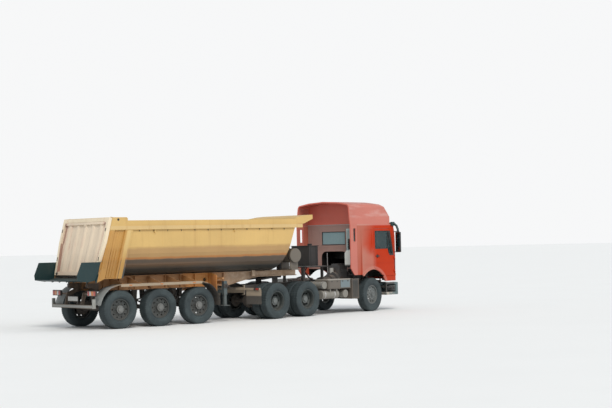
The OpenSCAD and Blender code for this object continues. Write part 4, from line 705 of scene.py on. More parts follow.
class Repeat:
    """A Geometry Nodes tree that puts one small shape on a row or a ring of points."""

    def __init__(self, name):
        self.tree = bpy.data.node_groups.new(name, "GeometryNodeTree")
        self.tree.interface.new_socket("Geometry", in_out="OUTPUT", socket_type="NodeSocketGeometry")
        self.values = {}
        self.entry = self.tree.nodes.new("NodeGroupInput")

    def named(self, name, value):
        """An input of the tree, with the value that this use of it gets."""
        kind = {int: "NodeSocketInt", float: "NodeSocketFloat", Vector: "NodeSocketVector"}[type(value)]
        socket = self.tree.interface.new_socket(name, in_out="INPUT", socket_type=kind)
        self.values[socket.identifier] = value
        return self.entry.outputs[name]

    def node(self, kind, inputs, **settings):
        made = self.tree.nodes.new(kind)
        for key, value in settings.items():
            setattr(made, key, value)
        for key, value in inputs.items():
            if isinstance(value, bpy.types.NodeSocket):
                self.tree.links.new(value, made.inputs[key])
            else:
                made.inputs[key].default_value = value
        return made.outputs[0]

    def row(self, count, start, step):
        """Points on a straight line."""
        return self.node("GeometryNodeMeshLine", {
            "Count": self.named("Count", count), "Start Location": self.named("Start", Vector(start)),
            "Offset": self.named("Step", Vector(step))}, mode="OFFSET")

    def ring(self, count, radius):
        """Points on a circle about Z."""
        return self.node("GeometryNodeMeshCircle", {
            "Vertices": self.named("Count", count), "Radius": self.named("Ring radius", radius)})

    def knob(self, radius, depth, sides):
        """A short round or six-sided shape along Z, such as a bolt's head."""
        return self.node("GeometryNodeMeshCylinder", {
            "Vertices": self.named("Sides", sides), "Radius": self.named("Radius", radius),
            "Depth": self.named("Depth", depth)})

    def bar(self, size):
        return self.node("GeometryNodeMeshCube", {"Size": self.named("Size", Vector(size))})

    def mesh(self, points, shape, turn, slot, matrix):
        """Puts the shape on the points, runs the tree once and gives its plain mesh, put in place by the matrix."""
        whole = self.node("GeometryNodeInstanceOnPoints", {
            "Points": points, "Instance": shape, "Rotation": self.named("Turn", Vector(turn))})
        whole = self.node("GeometryNodeRealizeInstances", {0: whole})
        whole = self.node("GeometryNodeSetMaterial", {"Geometry": whole, "Material": finish_of(slot)})
        self.tree.links.new(whole, self.tree.nodes.new("NodeGroupOutput").inputs[0])
        carrier = bpy.data.objects.new(self.tree.name, bpy.data.meshes.new(self.tree.name))
        bpy.context.scene.collection.objects.link(carrier)
        modifier = carrier.modifiers.new("Repeat", "NODES")
        modifier.node_group = self.tree
        for identifier, value in self.values.items():
            modifier[identifier] = value
        bpy.context.view_layer.update()
        made = bpy.data.meshes.new_from_object(carrier.evaluated_get(bpy.context.evaluated_depsgraph_get()))
        bpy.data.objects.remove(carrier)
        made.transform(matrix)
        return made


class Rows:
    """Rows and rings of small equal parts, ended as one piece."""

    def __init__(self, name, body, slot, finish=None, place=None):
        self.wears = body, slot, finish
        self.name = name
        self.place = place_of(body, place)
        self.whole = bmesh.new()

    def _add(self, tree, points, shape, turn=(0.0, 0.0, 0.0), height=0.0):
        matrix = self.place @ Matrix.Translation((0, 0, height))
        self.whole.from_mesh(tree.mesh(points, shape, turn, self.wears[1], matrix))

    def knob_ring(self, count, ring_radius, radius, depth, height):
        """Six-sided heads on a circle about Z, at a height in the piece's own frame."""
        tree = Repeat(self.name)
        self._add(tree, tree.ring(count, ring_radius), tree.knob(radius, depth, 6), height=height)

    def knobs(self, count, start, step, radius, depth, turn=(0.0, 0.0, 0.0), sides=6):
        tree = Repeat(self.name)
        self._add(tree, tree.row(count, start, step), tree.knob(radius, depth, sides), turn)

    def bars(self, count, start, step, size):
        tree = Repeat(self.name)
        self._add(tree, tree.row(count, start, step), tree.bar(size))

    def piece(self):
        settled(self.name, plain_mesh(self.name, self.whole), *self.wears)


# Wheels

BEAD_R = 0.286
TRACTOR_TYRE = 0.542, 0.295
TWIN_HALF = 0.169

# By kind: the tyre (as tyre_mesh takes it), the cap's and the flange's bolt circle and face, the rim's slot,
# the axles, the start of the tyre node's name, and how far each tyre of a wheel stands out
WHEELS = {
    "trailer": ((TRAILER_HUB_Z, 0.37, 58, 0.7, (0.24, 0.66)), (0.06, 0.164), (0.092, 0.1385), "rim_trailer",
                ("_1", "_2", "_3"), "tyre_", {"": 0.0}),
    "drive": ((*TRACTOR_TYRE, 44, 0.2, (0.0, 0.34)), (0.073, 0.191), (0.113, 0.1655), "rim_tractor",
              ("_1", "_2"), "tyres_", {"_outer": TWIN_HALF, "_inner": -TWIN_HALF}),
    "front": ((*TRACTOR_TYRE, 62, 0.75, (0.22, 0.62)), (0.051, 0.138), (0.081, 0.1125), "rim_tractor",
              ("",), "tyre_", {"": 0.0}),
}


def tyre_profile(radius, half, lug_from, grooves):
    """The tyre's cross-section as (radius, width, kind): kinds 'lug', 'rib' and 'low' shape the tread."""
    tread = 0.8 * half
    groove_w, groove_d = 0.0065, 0.014
    side = [
        (BEAD_R, 0.62), (BEAD_R + 0.021, 0.62), (BEAD_R + 0.034, 0.83), (BEAD_R + 0.05, 0.9), (BEAD_R + 0.056, 0.885),
        (radius * 0.68, 0.965), (radius * 0.7, 0.985), (radius * 0.715, 0.985), (radius * 0.73, 0.975),
        (radius * 0.78, 1.0), (radius * 0.86, 0.99), (radius - 0.052, 0.955), (radius - 0.048, 0.965),
        (radius - 0.036, 0.945),
    ]
    line = [(radius - 0.01, -0.86 * half, "lug"), (radius - 0.002, -tread, "lug")]
    for g in sorted({u for g in grooves for u in (g, -g)}):
        y = g * tread
        kind = "lug" if abs(g) > lug_from else "rib"
        line += [(radius, y - groove_w, kind), (radius - groove_d, y - groove_w * 0.6, "low"),
                 (radius - groove_d, y + groove_w * 0.6, "low"), (radius, y + groove_w, kind)]
    line += [(radius - 0.002, tread, "lug"), (radius - 0.01, 0.86 * half, "lug")]
    return [(r, -f * half, "side") for r, f in side] + line + [(r, f * half, "side") for r, f in reversed(side)]


def tyre_mesh(radius, width, pitches, lug_from, grooves):
    """A tyre about Z with a cut tread: grooves run round it, and lugs are cut outside lug_from of its half width."""
    profile = tyre_profile(radius, width / 2, lug_from, grooves)
    lug_d, waver = 0.01, 0.003
    steps = (0.0, 0.07, 0.6, 0.67)
    whole = bmesh.new()
    rings = []
    for i in range(pitches):
        for k, part in enumerate(steps):
            turn = 2 * math.pi * (i + part) / pitches
            ring = []
            for r, y, kind in profile:
                if kind == "lug" and k in (0, 3):
                    r -= lug_d
                shift = waver * (1 if k in (1, 2) else -1) if kind in ("rib", "low") else 0.0
                ring.append(whole.verts.new((r * math.cos(turn), r * math.sin(turn), y + shift)))
            rings.append(ring)
    n = len(profile)
    for here, there in zip(rings, rings[1:] + rings[:1]):
        for k in range(n):
            whole.faces.new((here[k], there[k], there[(k + 1) % n], here[(k + 1) % n]))
    bmesh.ops.recalc_face_normals(whole, faces=whole.faces)
    return plain_mesh("tyre", whole)


def wheel_place(joint, outward):
    """The matrix that puts a wheel, drawn about Z with its outside upwards, on its spindle."""
    axis = Vector(joint["axis"]) * outward
    return Matrix.Translation(joint["pos_m"]) @ axis.to_track_quat("Z", "Y").to_matrix().to_4x4()


def dress_wheels():
    """Replace the tyres by treaded ones and add the bolts round every hub."""
    plain = {kind: tyre_mesh(*values[0]) for kind, values in WHEELS.items()}
    for kind, (_, cap, flange, slot, axles, node, tyres) in WHEELS.items():
        for wheel, sign in [(f"{kind}{axle}_{side}", sign) for axle in axles for side, sign in SIDES]:
            joint = JOINTS["spin_" + wheel]
            place = wheel_place(joint, sign)
            for end, offset in tyres.items():
                mesh = plain[kind].copy()
                mesh.transform(place @ Matrix.Translation((0, 0, offset)))
                settled(f"tread_{wheel}{end}", mesh, joint["child"], "tyre", smooth=38.0, replaces=(node + wheel,))
            bolts = Rows("hub_bolts_" + wheel, joint["child"], slot, place=place)
            bolts.knob_ring(8, cap[0] * 0.82, 0.0055, 0.01, cap[1] + 0.003)
            bolts.knob_ring(10, flange[0], 0.009, 0.016, flange[1] + 0.006)
            bolts.piece()


# Stage and camera

CAMERA = Vector((-25.731, -35.211, 2.297))
CAMERA_YAW = math.radians(50.76)
CAMERA_PITCH = 0.027
CAMERA_ROLL = -0.022


def add_camera():
    """Add the camera at the photograph's place."""
    level = math.cos(CAMERA_PITCH)
    ahead = Vector((math.cos(CAMERA_YAW) * level, math.sin(CAMERA_YAW) * level, math.sin(CAMERA_PITCH)))
    right = ahead.cross(Vector((0, 0, 1))).normalized()
    up = right.cross(ahead)
    turned = right * math.cos(CAMERA_ROLL) + up * math.sin(CAMERA_ROLL)
    above = up * math.cos(CAMERA_ROLL) - right * math.sin(CAMERA_ROLL)
    data = bpy.data.cameras.new("camera")
    data.sensor_width = 36.0
    data.lens = bpy.context.scene.lorry_looks.lens
    data.clip_end = 900.0
    camera = bpy.data.objects.new("camera", data)
    bpy.context.scene.collection.objects.link(camera)
    camera.matrix_world = Matrix.Translation(CAMERA) @ Matrix((turned, above, -ahead)).transposed().to_4x4()
    bpy.context.scene.camera = camera


def add_light(name, towards, angle, energy, colour):
    """A soft far lamp that shines along a direction."""
    data = bpy.data.lights.new(name, "SUN")
    data.angle = math.radians(angle)
    data.energy = energy
    data.color = colour
    light = bpy.data.objects.new(name, data)
    light.rotation_euler = Vector(towards).to_track_quat("-Z", "Y").to_euler()
    bpy.context.scene.collection.objects.link(light)


def add_floor(colour):
    """A wide pale floor."""
    floor = bmesh.new()
    bmesh.ops.create_circle(floor, cap_ends=True, segments=96, radius=400.0)
    mesh = plain_mesh("floor", floor)
    shader = Shader("floor_pale")
    cloud = shader.noise(0.35, 4.0)
    fine = shader.noise(30.0, 4.0)
    mesh.materials.append(shader.finish(
        base_color=shader.scaled(colour, 0.97 + cloud * 0.04 + fine * 0.02),
        roughness=(cloud * 0.05 + 0.8).clamped(), normal=shader.bump(fine, 0.05, 0.002)))
    ground = bpy.data.objects.new("floor", mesh)
    bpy.context.scene.collection.objects.link(ground)


def add_stage():
    """Add the floor, the lamps and the sky."""
    scene = bpy.context.scene
    look = scene.lorry_looks
    add_floor(look.floor_colour)
    world = bpy.data.worlds.new("studio")
    world.use_nodes = True
    scene.world = world
    nodes, links = world.node_tree.nodes, world.node_tree.links
    nodes.clear()
    seen, light = (nodes.new("ShaderNodeBackground") for _ in range(2))
    seen.inputs[0].default_value = (0.93, 0.935, 0.94, 1.0)
    light.inputs[0].default_value = (0.9, 0.95, 1.0, 1.0)
    light.inputs[1].default_value = look.sky
    path = nodes.new("ShaderNodeLightPath")
    mixed = nodes.new("ShaderNodeMixShader")
    links.new(path.outputs["Is Camera Ray"], mixed.inputs[0])
    links.new(light.outputs[0], mixed.inputs[1])
    links.new(seen.outputs[0], mixed.inputs[2])
    links.new(mixed.outputs[0], nodes.new("ShaderNodeOutputWorld").inputs[0])
    add_light("key", (0.42, 0.8, -0.95), 24, 1.9 * look.light, (1.0, 0.97, 0.92))
    add_light("fill", (-0.75, 0.55, -0.45), 40, 0.45 * look.light, (0.93, 0.96, 1.0))
    scene.view_settings.view_transform = "Standard"


def dress_nodes():
    """Give every packed solid the finish of its slot."""
    for part in frame["record"]["subparts"]:
        materials = NODES[part["node"]].data.materials
        if not materials:
            materials.append(None)
        for i in range(len(materials)):
            materials[i] = finish_of(part["material_slot"])


# Bed and tailgate


def collar_x(z):
    """X of the rear collar's leaning face at a height."""
    return GATE_X - (GATE_Z - z) * math.tan(REAR_LEAN)


def front_x(z):
    """X of the bed's leaning front wall at a height."""
    return FRONT_X - (FRONT_Z - z) * math.tan(FRONT_LEAN)


def leaning_strip(shape, near, far, z0, z1, y, bevel):
    """A strip on both sides of the bed that leans with the collar, at distances ahead of its face."""
    outline = [(collar_x(z) + a, z) for a, z in ((near, z1), (far, z1), (far, z0), (near, z0))]
    for _, s in SIDES:
        shape.prism(outline, "Y", *sorted((s * y[0], s * y[1])), bevel)


def add_bed_trim():
    """Add the bed's flutes, weld seams, rope hooks, pin caps and the ladder on its front wall."""
    flutes, seams, caps, ladder = Shape(), Shape(), Shape(), Shape()
    for ahead in (0.205, 0.29, 0.375):
        leaning_strip(flutes, ahead, ahead + 0.05, 1.43, 2.735, (1.188, 1.215), 0.01)
    leaning_strip(flutes, 0.05, 0.115, 1.7, 2.735, (1.24, 1.253), 0.006)
    leaning_strip(flutes, 0.59, 0.69, 1.44, 2.735, (1.24, 1.253), 0.006)
    for x in (-4.62, -3.36, -2.1, -0.84):
        seams.both((x - 0.006, 1.206, 2.262), (x + 0.006, 1.213, 2.748), 0.0025, 1)
    seams.both((-5.72, 1.204, 2.246), (0.02, 1.2125, 2.255), 0.003, 1)
    pin_x, pin_z = -6.1084, 3.0364
    for _, s in SIDES:
        for y0, y1, radius, sides in ((1.252, 1.261, 0.032, 24), (1.258, 1.267, 0.015, 6)):
            caps.rod((pin_x, s * y0, pin_z), (pin_x, s * y1, pin_z), radius, sides)
    flutes.piece("bed_flutes", "bed", "bed_yellow")
    seams.piece("bed_seams", "bed", "bed_yellow")
    caps.piece("gate_pin_caps", "bed", "bed_yellow", "running_gear")
    hooks = Rows("rope_hooks", "bed", "bed_yellow", "running_gear")
    for y, z, size in ((1.221, 2.726, (0.012, 0.026, 0.012)), (1.235, 2.716, (0.012, 0.01, 0.04))):
        for _, s in SIDES:
            hooks.bars(12, (-5.4, s * y, z), (0.47, 0.0, 0.0), size)
    hooks.piece()
    middle_z = 2.45
    lean = Matrix.Translation((front_x(middle_z) + 0.004, 0.78, middle_z)) @ Matrix.Rotation(FRONT_LEAN, 4, "Y")
    for y in (-0.13, 0.13):
        ladder.box((-0.004, y - 0.012, -0.46), (0.04, y + 0.012, 0.46), 0.004, lean)
    ladder.piece("ladder_rails", "bed", "bed_yellow")
    rungs = Rows("ladder_rungs", "bed", "bed_yellow", place=TRAILER @ lean)
    rungs.bars(4, (0.028, 0.0, -0.39), (0.0, 0.0, 0.26), (0.02, 0.25, 0.02))
    rungs.piece()


def gate_panel():
    """The tailgate's pressed panel: one waved sheet between its frame's posts."""
    whole = bmesh.new()
    across = 121
    rows = []
    for z in (-0.104, -0.7, -1.546):
        half = (1.245 if z > -0.701 else 1.1223) - 0.1055
        row = []
        for i in range(across):
            y = -half + 2 * half * i / (across - 1)
            press = max(math.exp(-((y - c) / (0.085 + 0.01 * z)) ** 4) for c in (-0.84, -0.42, 0.0, 0.42, 0.84))
            row.append([whole.verts.new((x - 0.031 * press, y, z)) for x in (-0.0465, -0.045)])
        rows.append(row)
    pairs = list(zip(rows, rows[1:]))
    for top, low in pairs:
        for i in range(across - 1):
            for k in (0, 1):
                whole.faces.new((top[i][k], low[i][k], low[i + 1][k], top[i + 1][k]))
    for row in (rows[0], rows[-1]):
        for i in range(across - 1):
            whole.faces.new((row[i][0], row[i][1], row[i + 1][1], row[i + 1][0]))
    for i in (0, across - 1):
        for top, low in pairs:
            whole.faces.new((top[i][0], top[i][1], low[i][1], low[i][0]))
    bmesh.ops.recalc_face_normals(whole, faces=whole.faces)
    bmesh.ops.transform(whole, matrix=GATE, verts=whole.verts)
    return plain_mesh("gate_panel", whole)


def add_gate_trim():
    """Add the tailgate's pressed panel, upper band, latches, hinges and bolts."""
    settled("gate_panel", gate_panel(), "tailgate", "gate_cream", smooth=50.0)
    trim, iron = Shape(), Shape()
    trim.box((-0.109, -1.13, -0.014), (-0.1, 1.13, 0.002), 0.003)
    trim.box((-0.098, -1.1385, -0.188), (-0.048, 1.1385, -0.1), 0.006)
    trim.prism([(-0.055, -0.186), (0.055, -0.186), (0.0, -0.255)], "X", -0.096, -0.06, 0.003)
    iron.both((-0.114, 0.955, -1.642), (-0.1, 1.015, -1.57), 0.004)
    iron.both((-0.11, 1.17, -0.4), (-0.101, 1.205, -0.3), 0.003)
    iron.both((-0.11, 1.125, -1.23), (-0.101, 1.16, -1.13), 0.003)
    for _, s in SIDES:
        iron.rod((-0.112, s * 0.985 - 0.05, -1.606), (-0.112, s * 0.985 + 0.05, -1.606), 0.012, 12)
    trim.piece("gate_trim", "tailgate", "gate_cream")
    iron.piece("gate_iron", "tailgate", "gate_cream", "running_gear")
    bolts = Rows("gate_bolts", "tailgate", "gate_cream")
    bolts.knobs(7, (-0.108, -1.02, -0.056), (0.0, 0.34, 0.0), 0.01, 0.012, ALONG)
    bolts.knobs(6, (-0.108, -0.9, -1.598), (0.0, 0.36, 0.0), 0.01, 0.012, ALONG)
    bolts.piece()


# Trailer


def add_trailer_rear():
    """Add the rear lamps in their housings, the blank plate, the reflective strip and the bed's pads."""
    housing, red, amber, white, strip, plate, holder = (Shape() for _ in range(7))
    housing.both((-6.842, 0.741, 0.926), (-6.781, 1.199, 1.084), 0.01)
    for y0, y1, glass in ((1.075, 1.18, red), (0.955, 1.065, amber), (0.868, 0.945, white), (0.758, 0.858, red)):
        glass.both((-6.8495, y0, 0.945), (-6.838, y1, 1.066), 0.005)
    housing.piece("lamp_housings", "trailer", "lamp_red", "trim_black", replaces=("rear_lamps",))
    red.piece("lamps_red", "trailer", "lamp_red")
    amber.piece("lamps_amber", "trailer", "lamp_red", "amber_lens")
    white.piece("lamps_white", "trailer", "lamp_red", "white_lens")
    strip.box((-6.9025, -1.09, 0.605), (-6.8985, 1.09, 0.675), 0.0015, segments=1)
    strip.both((-6.904, 1.095, 0.588), (-6.806, 1.141, 0.85), 0.006)
    strip.piece("bar_strip", "trailer", "trailer_frame", "strip")
    plate.box((-6.872, -0.27, 0.79), (-6.866, 0.27, 0.91), 0.003)
    holder.box((-6.866, -0.29, 0.775), (-6.855, 0.29, 0.925), 0.003)
    holder.both((-6.857, 0.2, 0.688), (-6.84, 0.24, 0.78), 0.003)
    plate.piece("plate_blank", "trailer", "trailer_frame", "blank_plate")
    holder.piece("plate_holder", "trailer", "trailer_frame", "trim_black")
    pads = Rows("bed_pads", "trailer", "trailer_frame", "trim_black")
    for _, s in SIDES:
        pads.bars(9, (-5.6, s * 0.485, 1.4535), (0.66, 0.0, 0.0), (0.26, 0.12, 0.008))
    pads.piece()


def add_mudguard_trim():
    """Add the rubber ends, stays, bolts and marker lamps of the trailer's mudguards."""
    rubbers, amber, stays = Shape(), Shape(), Shape()
    turn = math.radians(8)
    x, z = TRAILER_AXLES[0] + 0.693 * math.cos(turn), TRAILER_HUB_Z + 0.699 * math.sin(turn)
    rubbers.both((x - 0.005, 0.838, z - 0.12), (x + 0.005, 1.255, z + 0.02), 0.003)
    for x in (-5.75, -4.72, -3.6):
        amber.both((x - 0.045, 1.266, 1.188), (x + 0.045, 1.276, 1.216), 0.003)
    for x in (-6.044, -5.378, -4.712, -4.046, -3.5):
        for _, s in SIDES:
            stays.rod((x + 0.03, s * 0.84, 1.219), (x + 0.03, s * 1.25, 1.219), 0.01, 10)
    rubbers.piece("guard_rubbers", "trailer", "mudguard", "trim_black")
    amber.piece("side_markers", "trailer", "lamp_red", "amber_lens")
    stays.piece("guard_stays", "trailer", "mudguard", "running_gear")
    bolts = Rows("guard_bolts", "trailer", "mudguard")
    for _, s in SIDES:
        bolts.knobs(14, (-5.95, s * 1.269, 1.222), (0.185, 0.0, 0.0), 0.007, 0.006, SIDEWAYS)
    bolts.piece()


def add_trailer_frame_trim():
    """Add the trailer's web ribs, leg plates, brake tanks and pipes, and the legs' crank and foot bolts."""
    ribs = Rows("web_ribs", "trailer", "trailer_frame")
    for _, s in SIDES:
        ribs.bars(9, (-6.2, s * 0.522, 1.25), (0.52, 0.0, 0.0), (0.012, 0.064, 0.372))
    ribs.piece()
    posts, dark, pipes, crank = Shape(), Shape(), Shape(), Shape()
    posts.both((-2.566, 0.64, 0.96), (-2.558, 0.905, 1.37), 0.003)
    posts.piece("leg_plates", "trailer", "trailer_frame", "orange_paint")
    for x, z in ((-1.75, 1.13), (-2.9, 1.16)):
        dark.rod((x, -0.4, z), (x, 0.4, z), 0.1, 32)
        for y in (-0.3, 0.3):
            dark.rod((x, y - 0.02, z), (x, y + 0.02, z), 0.104, 32)
            dark.box((x - 0.02, y - 0.02, z + 0.09), (x + 0.02, y + 0.02, 1.3), 0.003)
        dark.box((x - 0.045, -0.06, z - 0.16), (x + 0.045, 0.06, z - 0.085), 0.01)
    dark.piece("brake_tanks", "trailer", "running_gear")
    for y, z in ((0.4, 1.12), (0.385, 1.155)):
        pipes.tube([(-6.3, y, z), (-4.0, y, z - 0.01), (-2.0, y, z), (-1.1, y, z + 0.14), (0.55, y * 0.9, z + 0.2)],
                   0.011, 8)
    pipes.piece("brake_pipes", "trailer", "running_gear", "trim_black")
    crank.box((-2.4, -1.062, 1.0), (-2.26, -1.036, 1.12), 0.008)
    crank.rod((-2.33, -1.06, 1.06), (-2.33, -1.12, 1.06), 0.016, 16)
    crank.tube([(-2.33, -1.115, 1.06), (-2.2, -1.125, 1.0), (-2.12, -1.13, 0.965)], 0.009)
    crank.tube([(-2.12, -1.13, 0.968), (-2.118, -1.205, 0.964)], 0.009)
    crank.rod((-2.118, -1.15, 0.966), (-2.117, -1.24, 0.963), 0.015, 12)
    crank.piece("leg_crank", "trailer", "leg_grey", "running_gear")
    feet = Rows("foot_bolts", "trailer", "leg_grey")
    for _, s in SIDES:
        feet.place = TRAILER @ Matrix.Translation((-2.33, s * 0.98, 0))
        feet.knob_ring(4, 0.08, 0.011, 0.014, 0.492)
    feet.piece()


def add_trailer_gear_trim():
    """Add the bolts and hoses at the trailer's axles, and the round tank's straps and cap."""
    gear, straps = Shape(), Shape()
    for x in TRAILER_AXLES:
        for _, s in SIDES:
            for dx in (-0.048, 0.048):
                for dy in (-0.048, 0.048):
                    gear.rod((x + dx, s * 0.61 + dy, 0.48), (x + dx, s * 0.61 + dy, 0.762), 0.01, 8)
            gear.tube([(x + 0.16, s * 0.765, 0.64), (x + 0.16, s * 0.7, 0.82), (x + 0.1, s * 0.5, 0.98),
                       (x + 0.05, s * 0.42, 1.1)], 0.01, 8)
    gear.piece("spring_bolts", "trailer", "running_gear")
    for y in (-0.9, -0.47):
        ring = Matrix.Translation((0.375, y, 1.895)) @ Matrix.Rotation(math.pi / 2, 4, "X")
        straps.lathe([(0.2145, -0.02), (0.2195, -0.02), (0.2195, 0.02), (0.2145, 0.02)], 48, ring)
    straps.rod((0.375, -0.67, 2.1), (0.375, -0.67, 2.128), 0.03, 24)
    straps.piece("tank_straps", "trailer", "tank_beige", "running_gear")


# Tractor


def add_tractor_trim():
    """Add the rails' rivets, the tail lamps, the propeller shaft and the fifth wheel's grease."""
    rivets = Rows("rail_rivets", "tractor", "tractor_frame")
    for _, s in SIDES:
        for z in (0.8, 0.985):
            rivets.knobs(24, (-1.4, s * 0.452, z), (0.255, 0.0, 0.0), 0.011, 0.008, SIDEWAYS, sides=10)
    rivets.piece()
    housing, red, shaft, grease = Shape(), Shape(), Shape(), Shape()
    housing.both((-1.53, 0.9, 0.885), (-1.5175, 1.118, 0.965), 0.005)
    red.both((-1.536, 0.99, 0.897), (-1.529, 1.105, 0.953), 0.004)
    housing.piece("tail_housings", "tractor", "tractor_frame", "trim_black")
    red.piece("tail_lamps", "tractor", "lamp_red")
    gearbox, axle = Vector((2.15, 0.0, 0.93)), Vector((1.06, 0.0, 0.625))
    shaft.rod(gearbox, axle, 0.052, 24)
    for t in (0.0, 0.96):
        shaft.rod(gearbox.lerp(axle, t), gearbox.lerp(axle, t + 0.04), 0.085, 24)
    shaft.rod((1.06, 0.0, 0.62), (0.91, 0.0, 0.595), 0.06, 24)
    shaft.piece("propeller_shaft", "tractor", "running_gear")
    grease.lathe([(0.18, 1.2655), (0.18, 1.2672), (0.34, 1.2672), (0.34, 1.2655)])
    grease.piece("coupling_grease", "tractor", "running_gear", "grease")


def band_outline(low, high, corner, reach):
    """A rounded outline in Y and Z whose corners turn about points inside a tank's own corners."""
    middles = ((180, low[0], low[1]), (270, high[0], low[1]), (0, high[0], high[1]), (90, low[0], high[1]))
    outline = []
    for turn, y, z in middles:
        y += corner if y == low[0] else -corner
        z += corner if z == low[1] else -corner
        for a in (math.radians(turn + t) for t in range(0, 91, 15)):
            outline.append((y + reach * math.cos(a), z + reach * math.sin(a)))
    return outline


def add_tank_trim():
    """Add the bands, caps, handles and hoses of the tractor's tanks and boxes, and the treads of its steps."""
    fit, dark, sill = Shape(), Shape(), Shape()
    for x in (1.9, 2.32, 2.74):
        fit.prism(band_outline((0.64, 0.52), (1.19, 1.12), 0.11, 0.113), "X", x - 0.022, x + 0.022)
    fit.rod((2.55, 0.9, 1.118), (2.55, 0.9, 1.16), 0.055, 28)
    for x in (1.45, 1.9):
        fit.rod((x, -1.02, 0.63), (x + 0.04, -1.02, 0.63), 0.1385, 40)
    for y in (-1.1, -0.72):
        fit.rod((1.425, y - 0.018, 0.93), (1.425, y + 0.018, 0.93), 0.1185, 40)
    for x in (1.46, 1.78, 2.1):
        dark.rod((x, -1.02, 0.485), (x, -1.02, 0.505), 0.014, 8)
    fit.piece("tank_bands", "tractor", "tank_metal", "aluminium")
    for x in (1.72, 1.98, 2.24, 2.5):
        dark.box((x - 0.03, -1.208, 1.02), (x + 0.03, -1.199, 1.05), 0.003)
    dark.box((2.78, -1.206, 1.085), (2.98, -1.194, 1.101), 0.004)
    dark.rod((1.85, -0.18, 2.214), (1.85, -0.18, 2.24), 0.08, 32)
    for x in (1.72, 1.98):
        dark.box((x - 0.02, -0.348, 1.53), (x + 0.02, -0.338, 2.165), 0.003)
    dark.tube([(1.95, 0.3, 1.53), (2.1, 0.3, 1.35), (2.2, 0.2, 1.15), (2.28, 0.1, 1.06)], 0.024, 12)
    dark.tube([(1.7, -0.2, 1.53), (1.58, -0.18, 1.35), (1.5, -0.12, 1.2), (1.3, -0.1, 1.16)], 0.02, 12)
    dark.piece("tractor_fittings", "tractor", "tractor_frame", "trim_black")
    tread = Rows("tread_bars", "tractor", "tractor_frame", "aluminium")
    for y in (-0.55, 0.05):
        tread.bars(22, (1.265, y + 0.27, 1.5275), (0.0445, 0.0, 0.0), (0.01, 0.52, 0.006))
    for _, s in SIDES:
        for z in (0.585, 0.765):
            tread.bars(7, (4.495, s * 1.03, z), (0.04, 0.0, 0.0), (0.01, 0.24, 0.006))
    tread.piece()
    sill.both((4.5, 1.13, 0.901), (4.96, 1.168, 0.922), 0.004)
    sill.piece("step_sills", "tractor", "bumper_teal", "aluminium")


def add_engine_trim():
    """Add the engine's hoses, exhaust, injection pipes, reservoir, filler pipe, bolts and radiator fins."""
    hoses, pipes, bottle, post = Shape(), Shape(), Shape(), Shape()
    hoses.tube([(4.43, 0.22, 1.46), (4.3, 0.2, 1.53), (4.15, 0.14, 1.55), (4.02, 0.08, 1.52)], 0.03, 14)
    hoses.tube([(4.43, -0.24, 0.84), (4.28, -0.27, 0.83), (4.12, -0.27, 0.92), (4.05, -0.25, 1.02)], 0.032, 14)
    hoses.tube([(3.7, -0.34, 1.26), (3.58, -0.42, 1.4), (3.42, -0.62, 1.46), (3.25, -0.82, 1.5), (3.14, -0.9, 1.47)],
               0.058, 16)
    pipes.tube([(3.82, -0.31, 1.15), (3.9, -0.36, 1.02), (3.92, -0.36, 0.8), (3.7, -0.38, 0.66), (3.1, -0.4, 0.6)],
               0.045, 16)
    pipes.rod((3.1, -0.4, 0.6), (2.3, -0.52, 0.6), 0.11, 32)
    pipes.tube([(2.32, -0.52, 0.6), (2.05, -0.54, 0.6), (1.9, -0.62, 0.58)], 0.045, 16)
    first, apart = 3.31, 0.175
    for x in (first + i * apart for i in range(6)):
        pipes.tube([(x, 0.14, 1.535), (x + 0.02, 0.22, 1.52), (x + 0.03, 0.29, 1.42), (x + 0.02, 0.3, 1.33)], 0.006, 6)
    bottle.rod((3.13, 0.02, 1.26), (3.13, 0.02, 1.43), 0.062, 24)
    post.tube([(3.19, 0.22, 1.22), (3.195, 0.24, 1.4), (3.2, 0.25, 1.92)], 0.015)
    hoses.rod((3.13, 0.02, 1.43), (3.13, 0.02, 1.465), 0.045, 20)
    bottle.piece("reservoir", "tractor", "engine_iron", "white_plastic")
    post.piece("filler_pipe", "tractor", "engine_iron", "aluminium")
    hoses.piece("engine_hoses", "tractor", "engine_iron", "trim_black")
    pipes.piece("exhaust", "tractor", "engine_iron")
    bolts = Rows("engine_bolts", "tractor", "engine_iron")
    for y in (-0.12, 0.09):
        bolts.knobs(6, (first, y, 1.563), (apart, 0.0, 0.0), 0.012, 0.012)
    bolts.bars(30, (4.562, -0.32, 1.14), (0.0, 0.022, 0.0), (0.006, 0.008, 0.76))
    bolts.piece()


# Cab


def side_y(z):
    """How far the cab's side stands out at a height."""
    return 1.18 - max(0.0, z - 2.0) * 0.016 / 0.84


def screen_x(z, y=0.0):
    """X of the windscreen's outer face."""
    return 5.15 - (z - 1.9) * 0.23 / 0.94 - 0.035 * min(1.0, (abs(y) / 1.18) ** 1.6)


def on_screen(ahead, s, y, z, at):
    """A point ahead of the windscreen, whose face is taken at a distance from the middle."""
    return Vector((screen_x(z, at) + ahead, s * y, z))


